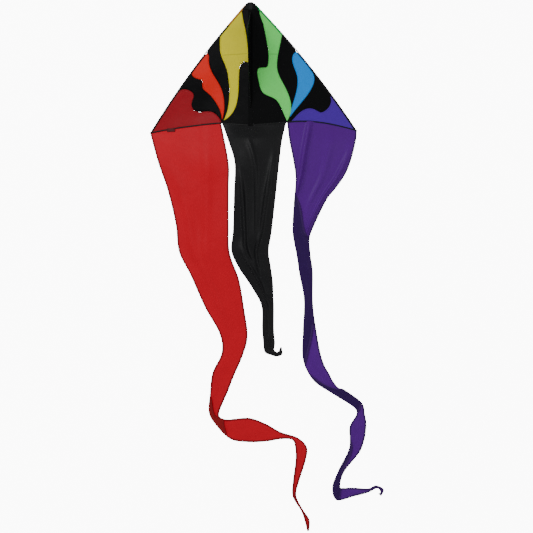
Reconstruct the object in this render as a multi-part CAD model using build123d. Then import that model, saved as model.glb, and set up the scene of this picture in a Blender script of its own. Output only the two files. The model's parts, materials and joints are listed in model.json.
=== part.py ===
from build123d import *
import math
import os

# Delta kite with three ribbon tails.  Millimetres, +Z towards the nose, +X along the span,
# -Y towards the flyer.  The origin is the centre of the tow eyelet at the keel's apex.
# A wing is drawn flat, with u measured out from the spine, y behind the sail and z up, and is
# then swung back about its fold line beside the spine.

# ---- sail ----
HALF_SPAN = 1038.0
NOSE_Z = 320.0
TIP_Z = -897.0
NOSE_HALF_WIDTH = 30.0
LEADING_EDGE_BOW = 39.0
DIHEDRAL = 12.0
FOLD_LINE_X = 20.0
FOLD_GAP = 1.0
SAIL_Y = 290.0
CLOTH = 0.6
LAYER_GAP = 0.3
PATCH_GAP = 6.0
TRAILING_EDGE_Z = -860.0
HEM_WIDTH = 12.0
NOSE_PATCH_HEIGHT = 66.0
TIP_PATCH_LENGTH = 60.0

# ---- rods ----
SPAR_DIAMETER = 5.0
SPINE_DIAMETER = 6.0
SPREADER_DIAMETER = 6.0
ROD_CLEARANCE = 0.5
FIT_CLEARANCE = 0.1
POCKET_WALL = 1.0
POCKET_END = 34.0
SPAR_END = 16.0
SPINE_BOTTOM_Z = -846.0
SPINE_TOP_Z = 300.0
CAP_LENGTH = 16.0
CAP_WALL = 1.2
CAP_END = 3.0

# ---- spreader, its fittings and its sleeve ----
SPREADER_Z = -135.0
POCKET_COLOUR_ENDS = {"amber": 115.0, "green": 22.0, "navy": -306.0}
SPREADER_STANDOFF = 16.0
SPREADER_INNER_U = 34.0
COLLAR_LENGTH = 26.0
FITTING_WALL = 2.6
SOCKET_DEPTH = 28.0
SOCKET_END = 4.0
POCKET_OPENING = 36.0
SCALLOP_LENGTH = 38.0
SCALLOP_DEPTH = 11.0
RING_WIDTH = 3.0
RING_WALL = 1.8
SLEEVE_GRIP = 30.0
SLEEVE_WALL = 1.5
SLEEVE_BEND_START = 2.0

# ---- keel ----
KEEL_TOP_Z = 240.0
KEEL_BOTTOM_Z = -690.0
KEEL_ROOT_GAP = 3.0
KEEL_NOSE = 13.0
TAPE_WIDTH = 12.0
EYELET_RADIUS = 4.0
EYELET_WALL = 0.8
EYELET_FLANGE = 4.0
EYELET_FLANGE_THICKNESS = 1.0

# ---- tails ----
TAIL_CLOTH = 1.0
TAIL_GAP = 3.0
HEADER_DEPTH = 30.0
TAIL_SIDE_GAP = 6.0
LABEL_WIDTH = 84.0
LABEL_HEIGHT = 34.0
LABEL_U = 772.0
LABEL_DROP = 15.0

# The trailing edge from the spine to the tip: where the outer tail starts, and how far its points
# beyond that, at these u, stand above the straight line to the tip.
LEFT_TAIL_START = (295.0, -825.0)
RIGHT_TAIL_START = (350.0, -825.0)
LEFT_EDGE_ARCH = [(655.0, 12.0)]
RIGHT_EDGE_ARCH = [(625.0, 39.0), (825.0, 30.0)]
CENTRE_EDGE = (150.0, -846.0)

# The colour panels are drawn on a wing of this size, and are stretched with the wing.
PATTERN_HALF_SPAN = 1038.0
PATTERN_TIP_Z = -897.0
PATTERN_HEIGHT = 1217.0

# Colour panels, (u, z).  Each list is one smooth edge, and the next list starts where it ends.
YELLOW_PANEL = [
    [(85, 225), (40, 0), (20, -140), (25, -250), (65, -245), (95, -275), (115, -360),
     (125, -540), (165, -695), (275, -795)],
    [(275, -795), (230, -690), (215, -585), (215, -460), (250, -275), (300, -145), (305, -65),
     (280, 45), (225, 95), (245, 150)],
    [(245, 150), (270, 180), (110, 270), (85, 225)],
]
ORANGE_PANEL = [
    [(420, -170), (395, -320), (305, -480), (270, -655), (290, -785)],
    [(290, -785), (350, -625), (445, -515), (485, -470), (490, -410), (565, -370), (590, -345),
     (585, -315)],
    [(585, -315), (655, -260), (480, -80), (420, -170)],
]
DARK_RED_PANEL = [
    [(735, -505), (615, -500), (585, -530), (605, -630), (585, -680), (400, -710), (320, -775),
     (295, -820)],
    [(295, -820), (295, -945), (1070, -945), (1070, -845), (790, -480), (735, -505)],
]
GREEN_PANEL = [
    [(90, 210), (135, 70), (160, -55), (175, -250), (160, -295), (85, -310), (80, -425),
     (130, -545), (245, -600), (295, -670), (355, -805)],
    [(355, -805), (380, -585), (325, -465), (260, -330), (265, -170), (300, 5)],
    [(300, 5), (350, 45), (100, 320), (90, 210)],
]
BLUE_PANEL = [
    [(415, -170), (405, -220), (450, -365), (450, -510), (395, -710), (385, -765)],
    [(385, -765), (465, -660), (555, -545), (615, -410), (570, -305)],
    [(570, -305), (665, -260), (500, -90), (415, -170)],
]
INDIGO_PANEL = [
    [(775, -570), (725, -705), (685, -720), (615, -690), (525, -695), (430, -775), (385, -820)],
    [(385, -820), (385, -950), (1070, -950), (1070, -870), (830, -550), (775, -570)],
]

# Tail ribs from the top down: (x, y, z) of the left edge, then of the right edge.
RED_RIBS = [
    [(-930, 480, -1175), (-215, 350, -1205)],
    [(-830, 470, -1460), (-215, 353, -1440)],
    [(-750, 456, -1785), (-215, 355, -1805)],
    [(-715, 442, -2055), (-205, 357, -2070)],
    [(-595, 425, -2290), (-115, 362, -2330)],
    [(-455, 412, -2595), (-65, 372, -2620)],
    [(-315, 400, -2840), (-35, 380, -2865)],
    [(-290, 395, -3030), (-80, 385, -3050)],
    [(-380, 392, -3230), (-170, 385, -3260)],
    [(-405, 390, -3445), (-245, 385, -3455)],
    [(-415, 388, -3600), (-310, 385, -3620)],
    [(-355, 386, -3715), (-270, 384, -3665)],
    [(-210, 384, -3860), (-170, 382, -3665)],
    [(-35, 380, -3890), (-15, 380, -3655)],
    [(145, 376, -3880), (145, 376, -3710)],
    [(285, 374, -3855), (285, 374, -3785)],
    [(390, 372, -3860), (445, 372, -3835)],
    [(420, 370, -3925), (535, 370, -3925)],
    [(425, 370, -4055), (525, 370, -4050)],
    [(400, 370, -4255), (460, 370, -4260)],
    [(398, 370, -4400), (434, 370, -4392)],
    [(480, 370, -4540), (497, 370, -4522)],
    [(512, 370, -4630), (560, 370, -4620)],
    [(537, 370, -4730), (556, 370, -4727)],
]
BLACK_RIBS = [
    [(-155, 316, -1210), (275, 316, -1210)],
    [(-160, 308, -1495), (245, 308, -1500)],
    [(-170, 305, -1855), (205, 305, -1855)],
    [(-185, 304, -2050), (175, 304, -2050)],
    [(-115, 304, -2210), (195, 304, -2200)],
    [(-45, 304, -2315), (215, 304, -2345)],
    [(30, 304, -2430), (220, 304, -2490)],
    [(105, 304, -2580), (225, 304, -2580)],
    [(110, 304, -2795), (225, 304, -2795)],
    [(120, 304, -2920), (235, 304, -2925)],
    [(135, 304, -3015), (228, 304, -2985)],
    [(195, 304, -3045), (232, 304, -3000)],
    [(250, 304, -3058), (255, 304, -3012)],
    [(305, 304, -3035), (272, 304, -2998)],
    [(298, 304, -2965), (282, 304, -2968)],
]
YOKE_RIBS = [
    [(-273, 344), (0, 292), (330, 356), -863],
    [(-220, 334), (15, 298), (300, 342), -995],
    [(-155, 318), (60, 312), (275, 318), -1205],
]
PURPLE_RIBS = [
    [(365, 362, -990), (1000, 486, -1000)],
    [(400, 368, -1170), (950, 472, -1195)],
    [(425, 374, -1355), (880, 452, -1350)],
    [(410, 380, -1565), (730, 428, -1565)],
    [(395, 384, -1795), (600, 407, -1830)],
    [(400, 386, -1915), (565, 402, -1945)],
    [(435, 386, -2100), (575, 396, -2100)],
    [(460, 386, -2270), (595, 392, -2255)],
    [(505, 386, -2520), (595, 390, -2550)],
    [(495, 386, -2810), (630, 390, -2815)],
    [(495, 386, -3090), (695, 388, -3110)],
    [(595, 386, -3290), (820, 388, -3335)],
    [(785, 384, -3420), (900, 386, -3375)],
    [(970, 382, -3535), (1060, 384, -3495)],
    [(1005, 380, -3605), (1090, 382, -3615)],
    [(940, 378, -3730), (1100, 380, -3740)],
    [(935, 376, -3930), (1055, 378, -3945)],
    [(830, 374, -4150), (895, 376, -4155)],
    [(775, 372, -4310), (855, 374, -4295)],
    [(820, 372, -4430), (895, 372, -4305)],
    [(985, 372, -4390), (985, 372, -4305)],
    [(1115, 372, -4352), (1115, 372, -4310)],
    [(1200, 372, -4310), (1192, 372, -4279)],
    [(1233, 372, -4341), (1266, 372, -4317)],
    [(1213, 372, -4359), (1240, 372, -4384)],
]
# Where each tail bends: the rib that each length of tail ends at.
RED_BENDS = [3, 7, 10, 23]
BLACK_BENDS = [2, 6, 14]
PURPLE_BENDS = [4, 9, 13, 24]

POCKET_RADIUS = SPAR_DIAMETER / 2 + ROD_CLEARANCE + POCKET_WALL
SAIL_INSET = 2 * POCKET_RADIUS + LAYER_GAP
SPINE_POCKET_RADIUS = SPINE_DIAMETER / 2 + ROD_CLEARANCE + POCKET_WALL
SPINE_Y = SAIL_Y + CLOTH + LAYER_GAP + SPINE_POCKET_RADIUS

# ---- the leading edge, an arc from the nose to the tip ----
CHORD_U = HALF_SPAN - NOSE_HALF_WIDTH
CHORD_Z = TIP_Z - NOSE_Z
CHORD = math.hypot(CHORD_U, CHORD_Z)
BOW_RADIUS = (CHORD**2 / 4 + LEADING_EDGE_BOW**2) / (2 * LEADING_EDGE_BOW)
OUT_U = -CHORD_Z / CHORD
OUT_Z = CHORD_U / CHORD
BOW_U = (HALF_SPAN + NOSE_HALF_WIDTH) / 2 - OUT_U * (BOW_RADIUS - LEADING_EDGE_BOW)
BOW_Z = (NOSE_Z + TIP_Z) / 2 - OUT_Z * (BOW_RADIUS - LEADING_EDGE_BOW)
HALF_TURN = math.asin(CHORD / 2 / BOW_RADIUS)
NOSE_ANGLE = math.atan2(OUT_Z, OUT_U) + HALF_TURN


def edge_point(distance, inset=POCKET_RADIUS):
    """The (u, z) point this far along the leading edge from the nose, and this far inside it."""
    angle = NOSE_ANGLE - distance / BOW_RADIUS
    radius = BOW_RADIUS - inset
    return BOW_U + radius * math.cos(angle), BOW_Z + radius * math.sin(angle)


def distance_at_z(z, inset=POCKET_RADIUS):
    """How far along the leading edge the inset line has this height."""
    return (NOSE_ANGLE - math.asin((z - BOW_Z) / (BOW_RADIUS - inset))) * BOW_RADIUS


EDGE_LENGTH = 2 * HALF_TURN * BOW_RADIUS
FITTING_AT = distance_at_z(SPREADER_Z)
FITTING_U = edge_point(FITTING_AT)[0]


def edge_arc(start, end, inset):
    """The leading edge between two distances, as an arc in the (u, z) plane."""
    points = [edge_point(d, inset) for d in (start, (start + end) / 2, end)]
    return ThreePointArc(*points)


def smooth(points):
    """A curve through the points, or a line where there are only two."""
    return Line(*points) if len(points) == 2 else Spline(*points)


def filled(edges):
    """The face inside a closed run of edges, facing up."""
    face = make_face(edges).face()
    return face if face.normal_at().Z > 0 else -face


def sheet(face, thickness=CLOTH):
    """A flat sheet of an outline."""
    return extrude(face, thickness, dir=(0, 0, 1))


def cutter(face):
    """An outline made deep enough to cut or trim any sheet."""
    return Pos(0, 0, -CLOTH) * extrude(face, 4 * CLOTH, dir=(0, 0, 1))


def box_between(low_u, high_u, low_z, high_z):
    """A deep block between two values of u and two of z, to trim sheets with."""
    centre = Pos((low_u + high_u) / 2, (low_z + high_z) / 2, 0)
    return centre * Box(high_u - low_u, high_z - low_z, 6 * CLOTH)


def upright(flat, front, thickness=CLOTH):
    """Stand a flat sheet up in the (u, z) plane, from y = front to front + thickness."""
    return Pos(0, front + thickness, 0) * Rot(90, 0, 0) * flat


def on_wing(shape, side):
    """Swing a flat wing's piece back by the dihedral, on the right (1) or the left (-1)."""
    swung = Pos(FOLD_LINE_X, SAIL_Y, 0) * Rot(0, 0, DIHEDRAL) * Pos(-FOLD_LINE_X, 0, 0) * shape
    return swung if side > 0 else mirror(swung, about=Plane.YZ)


def wing_point(u, z, side, behind=0.0):
    """Where a flat wing's point lies once the wing is swung back."""
    turn = math.radians(DIHEDRAL)
    x = FOLD_LINE_X + (u - FOLD_LINE_X) * math.cos(turn) - behind * math.sin(turn)
    y = SAIL_Y + (u - FOLD_LINE_X) * math.sin(turn) + behind * math.cos(turn)
    return side * x, y, z


def save(name, shape):
    """Write one piece to its STEP file."""
    shape = Compound(list(shape)) if isinstance(shape, list) else shape
    shape.label = name
    export_step(shape, f"parts/{name}.step")


# ---- trailing edge ----
def centre_edge(start, drop=0.0):
    """The trailing edge between the spine and the outer tail's start."""
    points = [(0.0, TRAILING_EDGE_Z), CENTRE_EDGE, start]
    return Spline(*[(u, z - drop) for u, z in points])


def chord_z(u, start):
    """The height at u of the straight line from the outer tail's start to the tip."""
    return start[1] + (TIP_Z - start[1]) * (u - start[0]) / (HALF_SPAN - start[0])


def outer_edge(start, arch, drop=0.0):
    """The trailing edge between the outer tail's start and the tip."""
    rises = [(u, chord_z(u, start) + rise) for u, rise in arch]
    points = [start, *rises, (HALF_SPAN, TIP_Z)]
    return Spline(*[(u, z - drop) for u, z in points])


def corners_line(*points):
    """Straight edges from point to point."""
    return [Line(a, b) for a, b in zip(points, points[1:])]


def wing_blank(start, arch):
    """A deep block of one flat wing's outline, with a scallop where the fitting shows."""
    first = FOLD_LINE_X + FOLD_GAP
    leading = edge_arc(0, EDGE_LENGTH, SAIL_INSET)
    top, tip = leading @ 0, leading @ 1
    floor = 2 * TIP_Z
    corners = [(tip.X, tip.Y), (tip.X, floor), (0, floor), (0, top.Y), (top.X, top.Y)]
    inside = [leading, *corners_line(*corners)]
    over = [centre_edge(start), outer_edge(start, arch)]
    over += corners_line((HALF_SPAN, TIP_Z), (HALF_SPAN, NOSE_Z), (0, NOSE_Z), (0, TRAILING_EDGE_Z))
    block = cutter(filled(inside)) & cutter(filled(over))
    slope = math.degrees(NOSE_ANGLE - FITTING_AT / BOW_RADIUS) - 90
    scallop = Pos(*edge_point(FITTING_AT)) * Rot(0, 0, slope) * Ellipse(SCALLOP_LENGTH / 2, SCALLOP_DEPTH)
    return (block & box_between(first, HALF_SPAN, floor, NOSE_Z)) - cutter(scallop)


def stretched(points):
    """Points drawn on the pattern's wing, moved to their places on this wing."""
    across = HALF_SPAN / PATTERN_HALF_SPAN
    down = (NOSE_Z - TIP_Z) / PATTERN_HEIGHT
    return [(u * across, TIP_Z + (z - PATTERN_TIP_Z) * down) for u, z in points]


def panel_face(edges):
    """A colour panel's outline, which may run past the wing where the wing trims it."""
    edges = [stretched(edge) for edge in edges]
    curves = [smooth(edge) for edge in edges[:-1]]
    last = edges[-1]
    curves.append(Polyline(*last) if len(last) > 2 else Line(*last))
    return filled(curves)


def edge_strip(curve, width):
    """A strip this wide above a curve."""
    upper = Pos(0, width) * curve
    return filled([curve, upper, Line(curve @ 0, upper @ 0), Line(curve @ 1, upper @ 1)])


def build_wing(side, start, arch, panels):
    """The sail, colour panels, hems and patches of one wing."""
    word = "left" if side < 0 else "right"
    wing = wing_blank(start, arch)
    layer = sheet(Pos(0, TIP_Z) * Rectangle(2 * HALF_SPAN, -4 * TIP_Z))
    whole = layer & wing
    sail = whole
    for name, edges in panels.items():
        face = panel_face(edges)
        save(name, on_wing(upright(sheet(face) & wing, -LAYER_GAP - CLOTH), side))
        sail -= cutter(face)
    save(f"{word}_sail", on_wing(upright(sail, 0), side))

    back = CLOTH + LAYER_GAP
    patch_u = HALF_SPAN - TIP_PATCH_LENGTH
    span = box_between(FOLD_LINE_X + FOLD_GAP, patch_u - LAYER_GAP, 2 * TIP_Z, NOSE_Z)
    hem = sheet(edge_strip(centre_edge(start), HEM_WIDTH))
    hem += sheet(edge_strip(outer_edge(start, arch), HEM_WIDTH))
    save(f"{word}_trailing_hem", on_wing(upright(hem & span, back), side))

    nose_low = NOSE_Z - NOSE_PATCH_HEIGHT
    first = FOLD_LINE_X + FOLD_GAP
    nose = whole & box_between(first, HALF_SPAN, nose_low, NOSE_Z)
    save(f"{word}_nose_patch", on_wing(upright(nose, -LAYER_GAP - CLOTH), side))
    tip = whole & box_between(patch_u, HALF_SPAN, 2 * TIP_Z, NOSE_Z)
    save(f"{word}_tip_patch", on_wing(upright(tip, back), side))


# ---- leading edge rods, pockets and fittings ----
def edge_rod(start, end, radius):
    """A rod along the leading edge."""
    path = Rot(90, 0, 0) * edge_arc(start, end, POCKET_RADIUS)
    section = Plane(origin=path @ 0, z_dir=path % 0) * Circle(radius)
    return sweep(section, path=path)


def edge_tube(start, end, outer, inner):
    """A tube along the leading edge."""
    return edge_rod(start, end, outer) - edge_rod(start - 1, end + 1, inner)


def build_leading_edge(side, sleeves):
    """The spar, its caps, the pocket's lengths, the spreader fitting and its stop rings."""
    word = "left" if side < 0 else "right"
    spar_radius = SPAR_DIAMETER / 2
    fit = spar_radius + FIT_CLEARANCE
    spar_last = EDGE_LENGTH - SPAR_END
    save(f"{word}_spar", on_wing(edge_rod(SPAR_END, spar_last, spar_radius), side))

    cap = fit + CAP_WALL
    caps = []
    for outside, inward in ((SPAR_END - CAP_END, 1), (spar_last + CAP_END, -1)):
        ends = sorted((outside, outside + inward * CAP_LENGTH))
        bore_start = outside + inward * (CAP_END - FIT_CLEARANCE)
        bore = sorted((bore_start, outside + 2 * inward * CAP_LENGTH))
        caps.append(edge_rod(*ends, cap) - edge_rod(*bore, fit))
    save(f"{word}_spar_caps", on_wing(Compound(caps), side))

    inner = spar_radius + ROD_CLEARANCE
    for name, start, end in sleeves:
        save(name, on_wing(edge_tube(start, end, POCKET_RADIUS, inner), side))

    half_collar = COLLAR_LENGTH / 2
    collar = edge_rod(FITTING_AT - half_collar, FITTING_AT + half_collar, fit + FITTING_WALL)
    socket_radius = SPREADER_DIAMETER / 2 + FIT_CLEARANCE
    socket_outer = socket_radius + FITTING_WALL
    socket_length = SOCKET_DEPTH + SOCKET_END
    socket_at = FITTING_U - SPAR_DIAMETER
    across = Rot(0, -90, 0)
    socket = Pos(socket_at, SPREADER_STANDOFF, SPREADER_Z) * across * Cylinder(
        socket_outer, socket_length, align=(Align.CENTER, Align.CENTER, Align.MIN)
    )
    bore = Pos(socket_at - SOCKET_END, SPREADER_STANDOFF, SPREADER_Z) * across * Cylinder(
        socket_radius, socket_length, align=(Align.CENTER, Align.CENTER, Align.MIN)
    )
    web = Pos(socket_at, SPREADER_STANDOFF / 2, SPREADER_Z) * Box(
        2 * SOCKET_END, SPREADER_STANDOFF, 2 * socket_radius
    )
    fitting = collar + socket + web - bore
    fitting -= edge_rod(FITTING_AT - COLLAR_LENGTH, FITTING_AT + COLLAR_LENGTH, fit)
    save(f"{word}_spreader_fitting", on_wing(fitting, side))

    ring_at = half_collar + LAYER_GAP
    rings = [
        edge_tube(FITTING_AT + ring_at, FITTING_AT + ring_at + RING_WIDTH, fit + RING_WALL, fit),
        edge_tube(FITTING_AT - ring_at - RING_WIDTH, FITTING_AT - ring_at, fit + RING_WALL, fit),
    ]
    save(f"{word}_stop_rings", on_wing(Compound(rings), side))

    reach = socket_at - SOCKET_END - FIT_CLEARANCE - SPREADER_INNER_U
    spreader = Pos(SPREADER_INNER_U, SPREADER_STANDOFF, SPREADER_Z) * Rot(0, 90, 0) * Cylinder(
        SPREADER_DIAMETER / 2, reach, align=(Align.CENTER, Align.CENTER, Align.MIN)
    )
    save(f"{word}_spreader_rod", on_wing(spreader, side))


# ---- centre: strip, spine, nose, sleeve and keel ----
def build_centre():
    """What stays with the spine."""
    half = FOLD_LINE_X - FOLD_GAP
    rise = (CENTRE_EDGE[1] - TRAILING_EDGE_Z) / CENTRE_EDGE[0] * half
    side_z = TRAILING_EDGE_Z + rise / 2
    strip = filled(Polyline(
        (-half, side_z), (0, TRAILING_EDGE_Z), (half, side_z), (half, NOSE_Z), (-half, NOSE_Z), close=True
    ))
    save("centre_strip", upright(sheet(strip), SAIL_Y))
    patch_height = NOSE_Z - KEEL_TOP_Z - PATCH_GAP
    patch = Pos(0, NOSE_Z - patch_height / 2) * Rectangle(2 * half, patch_height)
    save("nose_patch", upright(sheet(patch), SAIL_Y - LAYER_GAP - CLOTH))

    bottom = (Align.CENTER, Align.CENTER, Align.MIN)
    spine_radius = SPINE_DIAMETER / 2
    height = SPINE_TOP_Z - SPINE_BOTTOM_Z
    spine = Pos(0, SPINE_Y, SPINE_BOTTOM_Z) * Cylinder(spine_radius, height, align=bottom)
    save("spine_rod", spine)
    fit = spine_radius + FIT_CLEARANCE
    ends = (("spine_cap_top", SPINE_TOP_Z, 1), ("spine_cap_bottom", SPINE_BOTTOM_Z, -1))
    for name, end, way in ends:
        low = min(end + way * CAP_END, end + way * (CAP_END - CAP_LENGTH))
        cap = Pos(0, SPINE_Y, low) * Cylinder(fit + CAP_WALL, CAP_LENGTH, align=bottom)
        bore_low = min(end + way * FIT_CLEARANCE, end - way * CAP_LENGTH)
        cap -= Pos(0, SPINE_Y, bore_low) * Cylinder(fit, CAP_LENGTH + FIT_CLEARANCE, align=bottom)
        save(name, cap)
    low = SPINE_BOTTOM_Z + POCKET_END
    length = SPINE_TOP_Z - POCKET_END - low
    pocket = Cylinder(SPINE_POCKET_RADIUS, length, align=bottom)
    pocket -= Cylinder(SPINE_POCKET_RADIUS - POCKET_WALL, length, align=bottom)
    save("spine_pocket", Pos(0, SPINE_Y, low) * pocket)

    outer_end = wing_point(SPREADER_INNER_U + SLEEVE_GRIP, SPREADER_Z, 1, SPREADER_STANDOFF)
    inner_end = wing_point(SPREADER_INNER_U + SLEEVE_BEND_START, SPREADER_Z, 1, SPREADER_STANDOFF)
    bend = Vector(inner_end[0], inner_end[1], 0)
    far = Vector(-inner_end[0], inner_end[1], 0)
    drop = inner_end[0] * math.tan(math.radians(DIHEDRAL) / 2)
    path = Line((outer_end[0], outer_end[1], 0), bend)
    path += ThreePointArc(bend, (0, inner_end[1] - drop, 0), far)
    path += Line(far, (-outer_end[0], outer_end[1], 0))
    path = Pos(0, 0, SPREADER_Z) * path
    start = Plane(origin=path @ 0, z_dir=path % 0)
    bore = SPREADER_DIAMETER / 2 + FIT_CLEARANCE
    sleeve = sweep(start * Circle(bore + SLEEVE_WALL), path=path)
    sleeve -= sweep(start * Circle(bore), path=path)
    save("spreader_sleeve", sleeve)


def keel_outline(inset=0.0):
    """The keel's side view, (y, z): its root beside the sail and its apex round the eyelet."""
    root = SAIL_Y - KEEL_ROOT_GAP
    apex = [(-KEEL_NOSE, KEEL_NOSE), (-KEEL_NOSE, -KEEL_NOSE)]
    face = filled(Polyline((root, KEEL_TOP_Z), *apex, (root, KEEL_BOTTOM_Z), close=True))
    return offset(face, -inset, kind=Kind.INTERSECTION) if inset else face


def build_keel():
    """The keel panel with its edge tape and tow eyelet."""
    lengthwise = Rot(0, 0, 90) * Rot(90, 0, 0)
    barrel = EYELET_RADIUS + EYELET_WALL
    hole = Circle(barrel + FIT_CLEARANCE)
    panel = extrude(keel_outline() - hole, CLOTH / 2, both=True)
    save("keel_panel", lengthwise * panel)
    flange = barrel + EYELET_FLANGE
    tape = sheet(keel_outline()) - cutter(keel_outline(TAPE_WIDTH)) - cutter(Circle(flange + LAYER_GAP))
    tape &= box_between(-2 * KEEL_NOSE, SAIL_Y - 2 * TAPE_WIDTH, 2 * KEEL_BOTTOM_Z, NOSE_Z)
    side = CLOTH / 2 + LAYER_GAP
    save("keel_edge_tape", lengthwise * Pos(0, 0, side) * tape)
    half = CLOTH / 2 + FIT_CLEARANCE
    bottom = (Align.CENTER, Align.CENTER, Align.MIN)
    total = 2 * (half + EYELET_FLANGE_THICKNESS)
    eyelet = Pos(0, 0, -total / 2) * Cylinder(barrel, total, align=bottom)
    eyelet += Pos(0, 0, -total / 2) * Cylinder(flange, EYELET_FLANGE_THICKNESS, align=bottom)
    eyelet -= Pos(0, 0, -total) * Cylinder(EYELET_RADIUS, 2 * total, align=bottom)
    save("tow_eyelet", lengthwise * eyelet)
    washer = Pos(0, 0, half) * Cylinder(flange, EYELET_FLANGE_THICKNESS, align=bottom)
    washer -= Cylinder(barrel + FIT_CLEARANCE, 2 * total)
    save("tow_eyelet_washer", lengthwise * washer)


# ---- tails ----
def rib_face(left, right):
    """A rib's thin cross-section, between its two edge points."""
    half = Vector(0, TAIL_CLOTH / 2, 0)
    left, right = Vector(*left), Vector(*right)
    return Face(Wire.make_polygon([left - half, right - half, right + half, left + half]))


def ribbon(ribs):
    """A length of tail through its ribs."""
    return loft([rib_face(*rib) for rib in ribs], ruled=True)


def build_tail(name, ribs, bends, top=None):
    """A tail's lengths, with a small gap at each bend."""
    first = 0
    chain = ([top] if top else []) + ribs
    shift = 1 if top else 0
    for number, last in enumerate(bends, 1):
        length = [list(rib) for rib in chain[first:last + shift + 1]]
        if first > 0 or not top:
            length[0] = [(x, y, z - TAIL_GAP) for x, y, z in length[0]]
        save(f"{name}_{number}", ribbon(length))
        first = last + shift


def build_header(name, side, start, arch):
    """The fixed top strip of an outer tail, sewn below the wing's trailing edge."""
    first = start[0] + TAIL_SIDE_GAP
    last = HALF_SPAN - TAIL_SIDE_GAP
    top = outer_edge(start, arch, drop=LAYER_GAP)
    low = (start[1] - HEADER_DEPTH, TIP_Z - HEADER_DEPTH)
    outline = [
        top, Line(top @ 1, (HALF_SPAN, low[1])), Line((HALF_SPAN, low[1]), (start[0], low[0])),
        Line((start[0], low[0]), top @ 0),
    ]
    strip = sheet(filled(outline), TAIL_CLOTH) & box_between(first, last, 2 * TIP_Z, 0)
    save(name, on_wing(upright(strip, 0, TAIL_CLOTH), side))
    rise = (low[1] - low[0]) / (HALF_SPAN - start[0])
    ends = [
        wing_point(u, low[0] + (u - start[0]) * rise - TAIL_GAP, side, TAIL_CLOTH / 2)
        for u in (first, last)
    ]
    return ends if side > 0 else ends[::-1]


def build_yoke():
    """The fixed top of the centre tail, which folds with the two wings."""
    sections = []
    half = Vector(0, TAIL_CLOTH / 2, 0)
    for left, middle, right, z in YOKE_RIBS:
        front = [Vector(x, y, z) - half for x, y in (left, middle, right)]
        behind = [Vector(x, y, z) + half for x, y in (right, middle, left)]
        sections.append(Face(Wire.make_polygon(front + behind)))
    save("centre_tail_yoke", loft(sections, ruled=True))


def main():
    """Build every piece."""
    os.makedirs("parts", exist_ok=True)
    build_wing(-1, LEFT_TAIL_START, LEFT_EDGE_ARCH, {
        "yellow_panel": YELLOW_PANEL, "orange_panel": ORANGE_PANEL, "dark_red_panel": DARK_RED_PANEL,
    })
    build_wing(1, RIGHT_TAIL_START, RIGHT_EDGE_ARCH, {
        "green_panel": GREEN_PANEL, "blue_panel": BLUE_PANEL, "indigo_panel": INDIGO_PANEL,
    })
    opening = (FITTING_AT - POCKET_OPENING / 2, FITTING_AT + POCKET_OPENING / 2)
    amber, green, navy = [distance_at_z(z) for z in POCKET_COLOUR_ENDS.values()]
    last = EDGE_LENGTH - POCKET_END
    build_leading_edge(-1, [
        ("left_pocket_amber", POCKET_END, amber - LAYER_GAP), ("left_pocket_upper", amber, opening[0]),
        ("left_pocket_lower", opening[1], last),
    ])
    build_leading_edge(1, [
        ("right_pocket_green", POCKET_END, green - LAYER_GAP), ("right_pocket_upper", green, opening[0]),
        ("right_pocket_navy", opening[1], navy - LAYER_GAP), ("right_pocket_lower", navy, last),
    ])
    build_centre()
    build_keel()
    red_top = build_header("left_tail_header", -1, LEFT_TAIL_START, LEFT_EDGE_ARCH)
    purple_top = build_header("right_tail_header", 1, RIGHT_TAIL_START, RIGHT_EDGE_ARCH)
    build_tail("red_tail", RED_RIBS, RED_BENDS, red_top)
    build_tail("purple_tail", PURPLE_RIBS, PURPLE_BENDS, purple_top)
    build_yoke()
    build_tail("black_tail", BLACK_RIBS, BLACK_BENDS)
    label_z = chord_z(LABEL_U, LEFT_TAIL_START) - LABEL_DROP
    label_at = Pos(LABEL_U + LABEL_WIDTH / 2, label_z + LABEL_HEIGHT / 2)
    label = label_at * Rectangle(LABEL_WIDTH, LABEL_HEIGHT)
    save("blank_label", on_wing(upright(sheet(label), -2 * (LAYER_GAP + CLOTH)), -1))
    print("leading edge length", round(EDGE_LENGTH), "bow radius", round(BOW_RADIUS))


main()
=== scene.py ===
"""The looks of a delta kite: ripstop sails with flame panels, taped edges, a tow keel and ribbon tails."""

import json
import logging
import math
from dataclasses import dataclass
from enum import Enum
from typing import Callable, Optional, Sequence

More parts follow.
